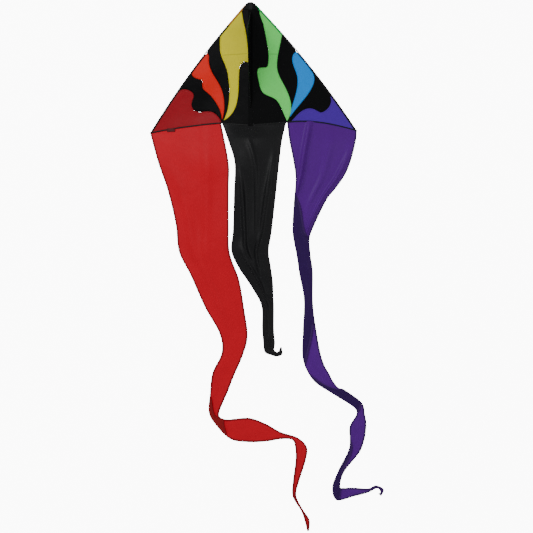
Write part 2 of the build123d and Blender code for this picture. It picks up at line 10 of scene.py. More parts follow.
import bmesh
import bpy
from mathutils import Vector
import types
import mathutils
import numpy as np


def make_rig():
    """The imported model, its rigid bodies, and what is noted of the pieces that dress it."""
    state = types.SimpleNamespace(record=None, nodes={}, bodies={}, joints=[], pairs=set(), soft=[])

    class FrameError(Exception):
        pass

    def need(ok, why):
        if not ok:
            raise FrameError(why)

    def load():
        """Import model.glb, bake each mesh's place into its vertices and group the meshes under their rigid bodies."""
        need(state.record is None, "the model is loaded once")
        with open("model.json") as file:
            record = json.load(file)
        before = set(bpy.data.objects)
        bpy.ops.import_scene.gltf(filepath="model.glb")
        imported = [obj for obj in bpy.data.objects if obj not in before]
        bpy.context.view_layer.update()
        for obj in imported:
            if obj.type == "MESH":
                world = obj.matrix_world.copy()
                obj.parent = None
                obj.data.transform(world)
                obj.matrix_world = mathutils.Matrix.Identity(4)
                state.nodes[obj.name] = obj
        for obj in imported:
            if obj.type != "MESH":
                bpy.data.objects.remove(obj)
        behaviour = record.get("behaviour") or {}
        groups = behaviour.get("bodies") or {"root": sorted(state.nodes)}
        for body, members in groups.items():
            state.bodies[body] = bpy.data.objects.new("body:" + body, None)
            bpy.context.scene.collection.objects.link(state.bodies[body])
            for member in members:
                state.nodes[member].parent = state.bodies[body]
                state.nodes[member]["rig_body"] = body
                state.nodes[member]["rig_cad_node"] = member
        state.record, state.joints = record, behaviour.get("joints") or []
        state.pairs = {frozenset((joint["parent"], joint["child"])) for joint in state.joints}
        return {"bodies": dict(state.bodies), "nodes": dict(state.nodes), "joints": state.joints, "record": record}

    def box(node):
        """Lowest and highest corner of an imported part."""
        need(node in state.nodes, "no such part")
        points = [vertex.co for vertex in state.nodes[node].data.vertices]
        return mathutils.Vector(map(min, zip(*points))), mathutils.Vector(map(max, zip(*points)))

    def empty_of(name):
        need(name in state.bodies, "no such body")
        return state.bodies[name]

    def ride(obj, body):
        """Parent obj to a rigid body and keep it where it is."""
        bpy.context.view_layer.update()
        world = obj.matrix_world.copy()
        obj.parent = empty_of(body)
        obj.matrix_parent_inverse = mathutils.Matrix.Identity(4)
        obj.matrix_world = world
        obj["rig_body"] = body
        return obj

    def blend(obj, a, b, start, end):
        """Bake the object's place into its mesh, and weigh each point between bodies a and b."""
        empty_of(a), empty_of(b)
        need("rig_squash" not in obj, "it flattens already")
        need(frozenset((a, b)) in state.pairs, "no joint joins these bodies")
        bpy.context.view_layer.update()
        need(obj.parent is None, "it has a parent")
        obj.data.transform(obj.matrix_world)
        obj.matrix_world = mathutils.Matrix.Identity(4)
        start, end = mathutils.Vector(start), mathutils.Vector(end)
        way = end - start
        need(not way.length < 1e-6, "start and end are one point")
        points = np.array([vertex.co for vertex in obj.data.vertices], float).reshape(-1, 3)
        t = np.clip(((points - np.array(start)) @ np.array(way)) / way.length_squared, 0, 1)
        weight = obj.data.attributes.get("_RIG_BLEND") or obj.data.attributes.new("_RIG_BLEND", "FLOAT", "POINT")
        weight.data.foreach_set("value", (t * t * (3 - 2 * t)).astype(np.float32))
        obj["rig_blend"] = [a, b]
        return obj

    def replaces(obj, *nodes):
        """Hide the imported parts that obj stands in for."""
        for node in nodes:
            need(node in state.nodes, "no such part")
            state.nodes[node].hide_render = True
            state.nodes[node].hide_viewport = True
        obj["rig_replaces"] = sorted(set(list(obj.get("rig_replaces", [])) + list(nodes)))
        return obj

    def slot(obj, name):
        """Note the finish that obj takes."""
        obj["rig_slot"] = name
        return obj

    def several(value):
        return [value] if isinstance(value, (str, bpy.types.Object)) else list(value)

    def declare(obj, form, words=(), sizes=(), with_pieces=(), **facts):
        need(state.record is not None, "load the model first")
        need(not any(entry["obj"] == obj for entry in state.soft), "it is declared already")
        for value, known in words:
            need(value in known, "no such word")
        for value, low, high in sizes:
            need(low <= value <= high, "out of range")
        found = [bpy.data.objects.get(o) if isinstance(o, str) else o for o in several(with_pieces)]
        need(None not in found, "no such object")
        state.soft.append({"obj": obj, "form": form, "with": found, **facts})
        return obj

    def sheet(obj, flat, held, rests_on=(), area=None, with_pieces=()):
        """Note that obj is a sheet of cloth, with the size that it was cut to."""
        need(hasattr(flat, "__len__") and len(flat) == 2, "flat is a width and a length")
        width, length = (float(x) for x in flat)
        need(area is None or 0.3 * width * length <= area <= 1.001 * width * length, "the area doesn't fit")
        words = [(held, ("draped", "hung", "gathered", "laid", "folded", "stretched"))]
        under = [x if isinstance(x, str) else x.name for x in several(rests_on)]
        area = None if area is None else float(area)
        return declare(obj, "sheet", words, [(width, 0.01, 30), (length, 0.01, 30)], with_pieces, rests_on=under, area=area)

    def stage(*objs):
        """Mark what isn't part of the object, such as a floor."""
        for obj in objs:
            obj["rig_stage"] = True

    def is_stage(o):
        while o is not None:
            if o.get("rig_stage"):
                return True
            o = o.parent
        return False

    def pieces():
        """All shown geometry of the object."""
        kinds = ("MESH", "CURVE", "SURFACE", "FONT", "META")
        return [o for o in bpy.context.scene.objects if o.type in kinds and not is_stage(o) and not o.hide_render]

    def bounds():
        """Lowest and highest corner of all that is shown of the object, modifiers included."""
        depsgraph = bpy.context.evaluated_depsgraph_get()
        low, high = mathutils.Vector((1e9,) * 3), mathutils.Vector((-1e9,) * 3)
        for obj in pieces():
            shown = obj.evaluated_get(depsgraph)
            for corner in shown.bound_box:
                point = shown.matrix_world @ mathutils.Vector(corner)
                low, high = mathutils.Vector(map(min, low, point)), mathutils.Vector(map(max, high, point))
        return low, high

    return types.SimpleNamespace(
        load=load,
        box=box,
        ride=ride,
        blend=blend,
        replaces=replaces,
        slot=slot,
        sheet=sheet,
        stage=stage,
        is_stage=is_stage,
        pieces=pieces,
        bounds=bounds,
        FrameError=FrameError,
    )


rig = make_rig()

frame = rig.load()
CAD_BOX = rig.bounds()
LOG = logging.getLogger("delta_kite")

Point = tuple[float, float, float]
Surface = Callable[[float, float], Vector]


class Side(Enum):
    """Which wing a piece belongs to."""

    LEFT = -1
    RIGHT = 1

    @property
    def word(self) -> str:
        """The word that the frame's names use for this side."""
        return self.name.lower()

    @property
    def body(self) -> str:
        """The body that this side's pieces ride on."""
        return f"{self.word}_wing"


def smooth_step(low: float, high: float, value: float) -> float:
    """Rise smoothly from 0 at low to 1 at high.

    Args:
        low: where the rise starts.
        high: where the rise ends.
        value: the place that is asked for.

    Returns:
        The share of the rise at value.
    """
    share = min(max((value - low) / (high - low), 0.0), 1.0)
    return share * share * (3 - 2 * share)


def through(points: Sequence[Point], at: float) -> Vector:
    """A smooth curve through points that are one unit apart.

    Args:
        points: what the curve passes through.
        at: how far along, from 0 at the first point to their number less one.

    Returns:
        The curve's point there.
    """
    last = len(points) - 1
    first = min(int(at), last - 1)
    share = at - first
    picks = [Vector(points[min(max(first + step, 0), last)]) for step in (-1, 0, 1, 2)]
    before, start, end, after = picks
    slope_start = (end - before) / 2
    slope_end = (after - start) / 2
    square, cube = share**2, share**3
    return (
        start * (2 * cube - 3 * square + 1)
        + slope_start * (cube - 2 * square + share)
        + end * (3 * square - 2 * cube)
        + slope_end * (cube - square)
    )


def put_in_scene(name: str, data: bpy.types.ID) -> bpy.types.Object:
    """Make an object of some data and link it to the scene."""
    item = bpy.data.objects.new(name, data)
    bpy.context.scene.collection.objects.link(item)
    return item


# ---------------------------------------------------------------- the wing's plan


@dataclass(frozen=True)
class WingPlan:
    """One wing laid flat: u out from the spine, z up, and how it stands once swung back."""

    half_span: float = 1.038
    nose_z: float = 0.320
    tip_z: float = -0.897
    nose_half_width: float = 0.030
    bow: float = 0.039
    dihedral: float = math.radians(12)
    fold_x: float = 0.020
    sail_y: float = 0.290
    left_tail_start: float = 0.295
    right_tail_start: float = 0.350
    spar_inset: float = 0.004
    spreader_z: float = -0.135
    pocket_end: float = 0.034
    opening: float = 0.036
    colour_ends: tuple[float, float, float] = (0.115, 0.022, -0.306)

    @property
    def chord(self) -> float:
        """The straight length of the leading edge."""
        return math.hypot(self.half_span - self.nose_half_width, self.nose_z - self.tip_z)

    @property
    def bow_radius(self) -> float:
        """The radius of the leading edge's arc."""
        return (self.chord**2 / 4 + self.bow**2) / (2 * self.bow)

    @property
    def edge_length(self) -> float:
        """The length of the leading edge along its arc."""
        return 2 * self.bow_radius * math.asin(self.chord / 2 / self.bow_radius)

    def edge(self, distance: float, inset: float) -> tuple[float, float]:
        """A point beside the leading edge.

        Args:
            distance: how far along from the nose.
            inset: how far inside the edge.

        Returns:
            The flat (u, z) point.
        """
        out_u = (self.nose_z - self.tip_z) / self.chord
        out_z = (self.half_span - self.nose_half_width) / self.chord
        back = self.bow_radius - self.bow
        centre_u = (self.half_span + self.nose_half_width) / 2 - out_u * back
        centre_z = (self.nose_z + self.tip_z) / 2 - out_z * back
        angle = math.atan2(out_z, out_u) + (self.edge_length / 2 - distance) / self.bow_radius
        radius = self.bow_radius - inset
        return centre_u + radius * math.cos(angle), centre_z + radius * math.sin(angle)

    def distance_at_z(self, z: float) -> float:
        """How far along the leading edge a height is, found by halving."""
        low, high = 0.0, self.edge_length
        for _ in range(30):
            middle = (low + high) / 2
            if self.edge(middle, self.spar_inset)[1] > z:
                low = middle
            else:
                high = middle
        return low

    def tail_start(self, side: Side) -> float:
        """How far out this side's outer tail starts on the trailing edge."""
        return self.left_tail_start if side is Side.LEFT else self.right_tail_start

    def billow(self, u: float, z: float) -> float:
        """How far the slack cloth stands behind the flat wing, in metres.

        Args:
            u: how far out from the spine.
            z: the height.

        Returns:
            The distance behind the plane of the wing.
        """
        reach = max((self.nose_z - z) * (self.half_span / (self.nose_z - self.tip_z)), 0.03)
        share = min(max((u - self.fold_x) / reach, 0.0), 1.0)
        belly = math.sin(math.pi * share) ** 1.3
        lower = smooth_step(-0.26, -0.62, z) * 0.020 + smooth_step(0.12, -0.02, z) * 0.003
        edge_rise = 1.0 - 0.45 * smooth_step(-0.70, -0.90, z)
        ripple = 0.0022 * math.sin(19 * u + 11 * z) * math.sin(math.pi * share) * smooth_step(0.1, -0.4, z)
        return belly * lower * edge_rise + ripple

    def place(self, u: float, z: float, side: Side, behind: float = 0.0) -> Vector:
        """Where a flat wing's point stands.

        Args:
            u: how far out from the spine.
            z: the height.
            side: which wing.
            behind: how far behind the sail's plane.

        Returns:
            The point in the frame.
        """
        reach = u - self.fold_x
        cosine, sine = math.cos(self.dihedral), math.sin(self.dihedral)
        x = self.fold_x + reach * cosine - behind * sine
        return Vector((side.value * x, self.sail_y + reach * sine + behind * cosine, z))

    def flat(self, point: Vector, side: Side) -> Vector:
        """Lay a standing wing's point flat again, as (u, behind, z)."""
        across = side.value * point.x - self.fold_x
        depth = point.y - self.sail_y
        cosine, sine = math.cos(self.dihedral), math.sin(self.dihedral)
        return Vector((self.fold_x + across * cosine + depth * sine, depth * cosine - across * sine, point.z))


PLAN = WingPlan()


# ---------------------------------------------------------------- finishes


class NodeBench:
    """Adds shader nodes to one tree and joins them."""

    def __init__(self, tree: bpy.types.NodeTree) -> None:
        """Keep the tree that nodes are added to."""
        self.tree = tree

    def add(self, kind: str, **values: object) -> bpy.types.Node:
        """Add a node and set its properties.

        Args:
            kind: the node's type.
            **values: properties by name.

        Returns:
            The new node.
        """
        node = self.tree.nodes.new(kind)
        for name, value in values.items():
            setattr(node, name, value)
        return node

    def join(self, source: bpy.types.NodeSocket, target: bpy.types.NodeSocket) -> None:
        """Link one socket to another."""
        self.tree.links.new(source, target)

    def math(self, operation: str, *inputs: object) -> bpy.types.NodeSocket:
        """Do one sum.

        Args:
            operation: the sum's name.
            *inputs: sockets or numbers.

        Returns:
            The socket that holds the answer.
        """
        node = self.add("ShaderNodeMath", operation=operation)
        for socket, value in zip(node.inputs, inputs):
            if isinstance(value, bpy.types.NodeSocket):
                self.join(value, socket)
            else:
                socket.default_value = value
        return node.outputs[0]

    def noise(self, vector: bpy.types.NodeSocket, scale: float, detail: float) -> bpy.types.NodeSocket:
        """A soft noise.

        Args:
            vector: what it is drawn on.
            scale: lumps in a metre.
            detail: how many finer layers.

        Returns:
            Its factor.
        """
        node = self.add("ShaderNodeTexNoise")
        node.inputs["Scale"].default_value = scale
        node.inputs["Detail"].default_value = detail
        self.join(vector, node.inputs["Vector"])
        return node.outputs[0]

    def bump(self, height: bpy.types.NodeSocket, strength: float, distance: float) -> bpy.types.NodeSocket:
        """A normal made from a height.

        Args:
            height: the height.
            strength: how much of it is used.
            distance: what a height of one stands for, in metres.

        Returns:
            The normal.
        """
        node = self.add("ShaderNodeBump")
        node.inputs["Strength"].default_value = strength
        node.inputs["Distance"].default_value = distance
        self.join(height, node.inputs["Height"])
        return node.outputs[0]

    def tone(self, color: object, value: bpy.types.NodeSocket) -> bpy.types.NodeSocket:
        """A colour made lighter or darker.

        Args:
            color: a socket, or the colour's three numbers.
            value: what its brightness is multiplied by.

        Returns:
            The colour.
        """
        node = self.add("ShaderNodeHueSaturation")
        if isinstance(color, bpy.types.NodeSocket):
            self.join(color, node.inputs["Color"])
        else:
            node.inputs["Color"].default_value = (*color, 1)
        self.join(value, node.inputs["Value"])
        return node.outputs[0]


def fresh_material(name: str) -> tuple[bpy.types.Material, NodeBench, bpy.types.Node]:
    """A new material, a bench for its nodes, and its Principled shader."""
    material = bpy.data.materials.new(name)
    material.use_nodes = True
    return material, NodeBench(material.node_tree), material.node_tree.nodes["Principled BSDF"]


def ripstop_group() -> bpy.types.NodeTree:
    """The weave shared by every cloth: fine threads with a heavier square grid, and soft creases.

    Returns:
        The node group, which gives a colour, a height and a roughness.
    """
    group = bpy.data.node_groups.new("ripstop_weave", "ShaderNodeTree")
    face = group.interface
    face.new_socket("Cloth", in_out="INPUT", socket_type="NodeSocketColor")
    face.new_socket("Thread", in_out="INPUT", socket_type="NodeSocketColor")
    face.new_socket("Grid Metres", in_out="INPUT", socket_type="NodeSocketFloat")
    face.new_socket("Crease", in_out="INPUT", socket_type="NodeSocketFloat")
    face.new_socket("Color", in_out="OUTPUT", socket_type="NodeSocketColor")
    face.new_socket("Height", in_out="OUTPUT", socket_type="NodeSocketFloat")
    face.new_socket("Roughness", in_out="OUTPUT", socket_type="NodeSocketFloat")
    bench = NodeBench(group)
    given = bench.add("NodeGroupInput")
    out = bench.add("NodeGroupOutput")
    plane = bench.add("ShaderNodeUVMap", uv_map="cloth")
    split = bench.add("ShaderNodeSeparateXYZ")
    bench.join(plane.outputs[0], split.inputs[0])
    lines = []
    for axis in (0, 1):
        cell = bench.math("DIVIDE", split.outputs[axis], given.outputs["Grid Metres"])
        near = bench.math("ABSOLUTE", bench.math("SUBTRACT", bench.math("FRACT", cell), 0.5))
        lines.append(bench.math("GREATER_THAN", near, 0.44))
    grid = bench.math("MAXIMUM", lines[0], lines[1])
    soft = bench.noise(plane.outputs[0], 3.5, 3.0)
    crease = bench.noise(plane.outputs[0], 11.0, 4.0)
    fine = bench.noise(plane.outputs[0], 900.0, 1.0)
    fibre = bench.noise(plane.outputs[0], 60.0, 3.0)
    thread = bench.add("ShaderNodeMix", data_type="RGBA")
    bench.join(bench.math("MULTIPLY", grid, 0.45), thread.inputs["Factor"])
    bench.join(given.outputs["Cloth"], thread.inputs["A"])
    bench.join(given.outputs["Thread"], thread.inputs["B"])
    shade = bench.math("MULTIPLY_ADD", soft, 0.22, 0.89)
    value = bench.math("MULTIPLY", shade, bench.math("MULTIPLY_ADD", fibre, 0.10, 0.95))
    bench.join(bench.tone(thread.outputs["Result"], value), out.inputs["Color"])
    folds = bench.math("MULTIPLY", crease, given.outputs["Crease"])
    weave = bench.math("MULTIPLY_ADD", grid, 0.00008, bench.math("MULTIPLY", fine, 0.00004))
    bench.join(bench.math("ADD", folds, weave), out.inputs["Height"])
    bench.join(bench.math("MULTIPLY_ADD", fibre, 0.18, 0.36), out.inputs["Roughness"])
    return group


@dataclass(frozen=True)
class ClothFinish:
    """A dyed ripstop nylon."""

    name: str
    color: Point
    thread: Point
    sheen: float = 0.05
    shine: float = 0.14
    grid: float = 0.006
    crease: float = 0.004
    seam: Optional[float] = None

    def make(self, weave: bpy.types.NodeTree) -> bpy.types.Material:
        """Build the material.

        Args:
            weave: the shared ripstop group.

        Returns:
            The material.
        """
        material, bench, shader = fresh_material(self.name)
        group = bench.add("ShaderNodeGroup")
        group.node_tree = weave
        group.inputs["Cloth"].default_value = (*self.color, 1)
        group.inputs["Thread"].default_value = (*self.thread, 1)
        group.inputs["Grid Metres"].default_value = self.grid
        group.inputs["Crease"].default_value = self.crease
        color = group.outputs["Color"]
        if self.seam is not None:
            place = bench.add("ShaderNodeTexCoord")
            split = bench.add("ShaderNodeSeparateXYZ")
            bench.join(place.outputs["Object"], split.inputs[0])
            off = bench.math("ABSOLUTE", bench.math("SUBTRACT", split.outputs["Z"], self.seam))
            dark = bench.math("MULTIPLY_ADD", bench.math("LESS_THAN", off, 0.004), -0.25, 1.0)
            color = bench.tone(color, dark)
        bench.join(color, shader.inputs["Base Color"])
        bench.join(group.outputs["Roughness"], shader.inputs["Roughness"])
        bench.join(bench.bump(group.outputs["Height"], 0.8, 1.0), shader.inputs["Normal"])
        shader.inputs["Sheen Weight"].default_value = self.sheen
        shader.inputs["Sheen Roughness"].default_value = 0.4
        shader.inputs["Specular IOR Level"].default_value = self.shine
        return material


@dataclass(frozen=True)
class TapeFinish:
    """A sewn binding tape: a ribbed weave with a row of stitches along each side."""

    name: str
    color: Point
    thread: Point
    rib: float = 0.0012
    rows: tuple[float, ...] = (0.0105,)

    def make(self) -> bpy.types.Material:
        """Build the material, on the piece's own map with u across in metres and v along."""
        material, bench, shader = fresh_material(self.name)
        plane = bench.add("ShaderNodeUVMap", uv_map="cloth")
        split = bench.add("ShaderNodeSeparateXYZ")
        bench.join(plane.outputs[0], split.inputs[0])
        wave = bench.math("SINE", bench.math("MULTIPLY", split.outputs[1], 2 * math.pi / self.rib))
        soft = bench.noise(plane.outputs[0], 40.0, 3.0)
        dash = bench.math("LESS_THAN", bench.math("FRACT", bench.math("DIVIDE", split.outputs[1], 0.0035)), 0.72)
        sewn = None
        for row in self.rows:
            off = bench.math("ABSOLUTE", bench.math("SUBTRACT", bench.math("ABSOLUTE", split.outputs[0]), row))
            stitch = bench.math("MULTIPLY", bench.math("LESS_THAN", off, 0.0004), dash)
            sewn = stitch if sewn is None else bench.math("MAXIMUM", sewn, stitch)
        mix = bench.add("ShaderNodeMix", data_type="RGBA")
        bench.join(sewn, mix.inputs["Factor"])
        mix.inputs["A"].default_value = (*self.color, 1)
        mix.inputs["B"].default_value = (*self.thread, 1)
        weave = bench.math("MULTIPLY_ADD", wave, 0.00006, bench.math("MULTIPLY", soft, 0.0008))
        height = bench.math("MULTIPLY_ADD", sewn, 0.0002, weave)
        value = bench.math("MULTIPLY_ADD", soft, 0.5, 0.75)
        bench.join(bench.tone(mix.outputs["Result"], value), shader.inputs["Base Color"])
        bench.join(bench.math("MULTIPLY_ADD", soft, 0.2, 0.5), shader.inputs["Roughness"])
        bench.join(bench.bump(height, 0.7, 1.0), shader.inputs["Normal"])
        shader.inputs["Sheen Weight"].default_value = 0.04
        shader.inputs["Specular IOR Level"].default_value = 0.2
        return material


@dataclass(frozen=True)
class HardFinish:
    """A rod, moulded or metal finish on object coordinates."""

    name: str
    color: Point
    roughness: float
    metallic: float = 0.0
    grain: float = 90.0
    stretch: Point = (1.0, 1.0, 1.0)
    depth: float = 0.0002

    def make(self) -> bpy.types.Material:
        """Build the material."""
        material, bench, shader = fresh_material(self.name)
        place = bench.add("ShaderNodeTexCoord")
        turn = bench.add("ShaderNodeMapping")
        turn.inputs["Scale"].default_value = self.stretch
        bench.join(place.outputs["Object"], turn.inputs["Vector"])
        grain = bench.noise(turn.outputs[0], self.grain, 4.0)
        value = bench.math("MULTIPLY_ADD", grain, 0.5, 0.75)
        bench.join(bench.tone(self.color, value), shader.inputs["Base Color"])
        rough = bench.math("MULTIPLY_ADD", grain, 0.2, self.roughness - 0.1)
        bench.join(rough, shader.inputs["Roughness"])
        bench.join(bench.bump(grain, 0.6, self.depth), shader.inputs["Normal"])
        shader.inputs["Metallic"].default_value = self.metallic
        return material


class Wardrobe:
    """Every finish of the kite, made once and handed out by name."""

    CLOTHS = (
        ClothFinish("black_cloth", (0.003, 0.003, 0.0035), (0.007, 0.007, 0.008), sheen=0.0, shine=0.06),
        ClothFinish("yellow_cloth", (0.8, 0.72, 0.004), (0.42, 0.33, 0.02), seam=-0.171),
        ClothFinish("orange_cloth", (0.8, 0.012, 0.004), (0.50, 0.03, 0.012)),
        ClothFinish("dark_red_cloth", (0.335, 0.003, 0.012), (0.22, 0.006, 0.008)),
        ClothFinish("green_cloth", (0.15, 0.95, 0.16), (0.12, 0.42, 0.11), seam=-0.171),
        ClothFinish("blue_cloth", (0.0005, 0.3, 0.93), (0.00, 0.21, 0.52)),
        ClothFinish("indigo_cloth", (0.076, 0.012, 0.38), (0.04, 0.022, 0.22)),
        ClothFinish("red_tail_cloth", (0.63, 0.003, 0.018), (0.42, 0.008, 0.010)),
        ClothFinish("black_tail_cloth", (0.005, 0.005, 0.006), (0.011, 0.011, 0.012), sheen=0.02, shine=0.2),
        ClothFinish("purple_tail_cloth", (0.098, 0.006, 0.25), (0.05, 0.015, 0.15)),
        ClothFinish("red_tail_back", (0.280, 0.008, 0.010), (0.2, 0.006, 0.008), sheen=0.1),
        ClothFinish("purple_tail_back", (0.028, 0.004, 0.085), (0.015, 0.004, 0.04), sheen=0.1),
    )
    TAPES = (
        TapeFinish("black_tape", (0.007, 0.007, 0.008), (0.03, 0.03, 0.03)),
        TapeFinish("amber_tape", (0.480, 0.190, 0.020), (0.3, 0.1, 0.01)),
        TapeFinish("green_tape", (0.010, 0.380, 0.080), (0.01, 0.25, 0.05)),
        TapeFinish("navy_tape", (0.012, 0.030, 0.090), (0.03, 0.05, 0.12)),
        TapeFinish("red_hem", (0.22, 0.004, 0.008), (0.4, 0.01, 0.01)),
        TapeFinish("purple_hem", (0.040, 0.008, 0.10), (0.06, 0.02, 0.18)),
        TapeFinish("label_tape", (0.090, 0.012, 0.014), (0.2, 0.05, 0.05)),
    )
    HARDS = (
        HardFinish("glass_fibre", (0.020, 0.020, 0.022), 0.34, stretch=(8.0, 8.0, 0.6), depth=0.00008),
        HardFinish("vinyl", (0.016, 0.016, 0.017), 0.52, grain=220.0),
        HardFinish("nickel", (0.560, 0.540, 0.500), 0.24, metallic=1.0, grain=400.0, depth=0.00003),
    )

    def __init__(self) -> None:
        """Make every material."""
        weave = ripstop_group()
        self.materials = {finish.name: finish.make(weave) for finish in self.CLOTHS}
        for finish in (*self.TAPES, *self.HARDS):
            self.materials[finish.name] = finish.make()
        for cloth in self.CLOTHS:
            seam = TapeFinish(f"{cloth.name}_seam", cloth.color, cloth.thread, rib=0.0008, rows=(0.0015, 0.0065))
            self.materials[seam.name] = seam.make()

    def dress(self, piece: bpy.types.Object, finish: str, slot: Optional[str] = None) -> None:
        """Give a piece its material and name the record's slot.

        Args:
            piece: the object.
            finish: the material's name.
            slot: the record's slot, where it isn't the material's own name.
        """
        piece.data.materials.clear()
        piece.data.materials.append(self.materials[finish])
        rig.slot(piece, slot or finish)

    def repaint(self, node: str, finish: str) -> None:
        """Give a CAD node its material."""
        for slot in frame["nodes"][node].material_slots:
            slot.material = self.materials[finish]


# ---------------------------------------------------------------- cloth makers


class Bench:
    """Makes cloth pieces as grids laid on a surface, and from copies of flat CAD pieces."""

    def __init__(self, wardrobe: Wardrobe) -> None:
        """Keep the finishes."""
        self.wardrobe = wardrobe

    @staticmethod
    def lay_grid(mesh: bmesh.types.BMesh, along: int, across: int, surface: Surface, size: Surface) -> None:
        """Add a grid and lay it on a surface.

        Args:
            mesh: what it is added to.
            along: how many faces along.
            across: how many faces across.
            surface: gives the place at (along, across), each from 0 to 1.
            size: gives the cloth's own flat coordinates there, in metres.
        """
        layer = mesh.loops.layers.uv.get("cloth") or mesh.loops.layers.uv.new("cloth")
        made = bmesh.ops.create_grid(mesh, x_segments=along, y_segments=across, size=0.5)
        flat = {}
        for vertex in made["verts"]:
            share = (vertex.co.x + 0.5, vertex.co.y + 0.5)
            flat[vertex] = size(*share)
            vertex.co = surface(*share)
        for face in {face for vertex in made["verts"] for face in vertex.link_faces}:
            face.smooth = True
            for loop in face.loops:
                loop[layer].uv = flat[loop.vert].xy

    def finish_mesh(
        self, name: str, mesh: bmesh.types.BMesh, thickness: float, finish: str, slot: Optional[str] = None
    ) -> bpy.types.Object:
        """Turn a built sheet into an object with a thickness.

        Args:
            name: the object's name.
            mesh: the sheet.
            thickness: how thick the cloth is, in metres.
            finish: the material's name.
            slot: the record's slot, where it isn't the material's own name.

        Returns:
            The object.
        """
        data = bpy.data.meshes.new(name)
        mesh.to_mesh(data)
        mesh.free()
        piece = put_in_scene(name, data)
        if thickness > 0:
            solid = piece.modifiers.new("thickness", "SOLIDIFY")
            solid.thickness = thickness
            solid.offset = 0.0
        self.wardrobe.dress(piece, finish, slot)
        LOG.info("%s: %d faces", name, len(data.polygons))
        return piece

    def sheet_on(
        self, name: str, along: int, across: int, surface: Surface, size: Surface, thickness: float,
        finish: str, slot: Optional[str] = None,
    ) -> bpy.types.Object:
        """Make one sheet from a grid laid on a surface, and return its object."""
        mesh = bmesh.new()
        self.lay_grid(mesh, along, across, surface, size)
        return self.finish_mesh(name, mesh, thickness, finish, slot)

    @staticmethod
    def map_flat(mesh: bmesh.types.BMesh) -> None:
        """Give a flat sheet its cloth coordinates, in metres."""
        layer = mesh.loops.layers.uv.new("cloth")
        for face in mesh.faces:
            face.smooth = True
            for loop in face.loops:
                loop[layer].uv = (loop.vert.co.x, loop.vert.co.z)

    @staticmethod
    def flat_faces(node: str, lay_flat: Callable[[Vector], Vector], step: float) -> bmesh.types.BMesh:
        """The front of a flat CAD sheet, cut by a square grid.

        Args:
            node: the CAD node.
            lay_flat: turns a frame point into (u, depth, z).
            step: the grid's spacing.

        Returns:
            The mesh, in flat coordinates.
        """
        mesh = bmesh.new()
        mesh.from_mesh(frame["nodes"][node].data)
        for layer in list(mesh.loops.layers.uv.values()):
            mesh.loops.layers.uv.remove(layer)
        for vertex in mesh.verts:
            vertex.co = lay_flat(vertex.co)
        bmesh.ops.remove_doubles(mesh, verts=mesh.verts, dist=0.00002)
        front = min(vertex.co.y for vertex in mesh.verts)
        gone = [f for f in mesh.faces if max(v.co.y for v in f.verts) > front + 0.0001]
        bmesh.ops.delete(mesh, geom=gone, context="FACES")
        bmesh.ops.dissolve_limit(mesh, angle_limit=0.01, verts=mesh.verts, edges=mesh.edges)
        for axis, normal in ((0, (1, 0, 0)), (2, (0, 0, 1))):
            low = min(vertex.co[axis] for vertex in mesh.verts)
            high = max(vertex.co[axis] for vertex in mesh.verts)
            line = math.ceil(low / step) * step
            while line < high:
                everything = [*mesh.verts, *mesh.edges, *mesh.faces]
                at = Vector(normal) * line
                bmesh.ops.bisect_plane(mesh, geom=everything, dist=0.0002, plane_co=at, plane_no=normal)
                line += step
        bmesh.ops.recalc_face_normals(mesh, faces=mesh.faces)
        if sum(face.normal.y * face.calc_area() for face in mesh.faces) > 0:
            bmesh.ops.reverse_faces(mesh, faces=mesh.faces)
        return mesh

    def strip(
        self, name: str, line: "Line", surface: Callable[[float, float], Vector], widths: Sequence[float],
        finish: str, thickness: float = 0.0004, step: float = 0.010,
    ) -> bpy.types.Object:
        """Make a narrow strip along a line.

        Args:
            name: the object's name.
            line: what it follows.
            surface: gives the place at (share along, column number).
            widths: each column's own flat distance across, in metres.
            finish: the material's name.
            thickness: how thick the tape is.
            step: how long its faces are.

        Returns:
            The object.
        """
        last = len(widths) - 1
        along = max(4, math.ceil(line.length / step))
        return self.sheet_on(
            name, along, last, lambda s, t: surface(s, t * last),
            lambda s, t: Vector((widths[round(t * last)], s * line.length, 0)), thickness, finish,
        )


class Line:
    """A run of points that can be walked by distance."""

    def __init__(self, points: Sequence[Vector]) -> None:
        """Keep the points and how far along each one is."""
        self.points = [Vector(point) for point in points]
        self.reached = [0.0]
        for here, there in zip(self.points, self.points[1:]):
            self.reached.append(self.reached[-1] + (there - here).length)

    @property
    def length(self) -> float:
        """How long the line is."""
        return self.reached[-1]

    def at(self, share: float) -> Vector:
        """The point this share of the way along."""
        distance = min(max(share, 0.0), 1.0) * self.length
        low, high = 0, len(self.points) - 1
        while high - low > 1:
            middle = (low + high) // 2
            if self.reached[middle] > distance:
                high = middle
            else:
                low = middle
        span = self.reached[high] - self.reached[low]
        part = (distance - self.reached[low]) / span if span > 0 else 0.0
        return self.points[low].lerp(self.points[high], part)

    def inward(self, share: float, reach: float = 0.012) -> Vector:
        """The direction to the line's left in the flat (u, z) plane, averaged over a short reach."""
        part = reach / self.length
        way = self.at(share + part) - self.at(share - part)
        return Vector((-way.z, 0, way.x)).normalized()


def islands(mesh: bmesh.types.BMesh) -> list[bmesh.types.BMesh]:
    """Split a sheet into the pieces that aren't joined, and free it."""
    mesh.faces.ensure_lookup_table()
    number = [0] * len(mesh.faces)
    count = 0
    for first in mesh.faces:
        if number[first.index]:
            continue
        count += 1
        number[first.index] = count
        found = [first]
        while found:
            face = found.pop()
            for other in (f for edge in face.edges for f in edge.link_faces):
                if not number[other.index]:
                    number[other.index] = count
                    found.append(other)
    parts = []
    for wanted in range(1, count + 1):
        part = mesh.copy()
        part.faces.ensure_lookup_table()
        gone = [face for face in part.faces if number[face.index] != wanted]
        bmesh.ops.delete(part, geom=gone, context="FACES")
        parts.append(part)
    mesh.free()
    return parts


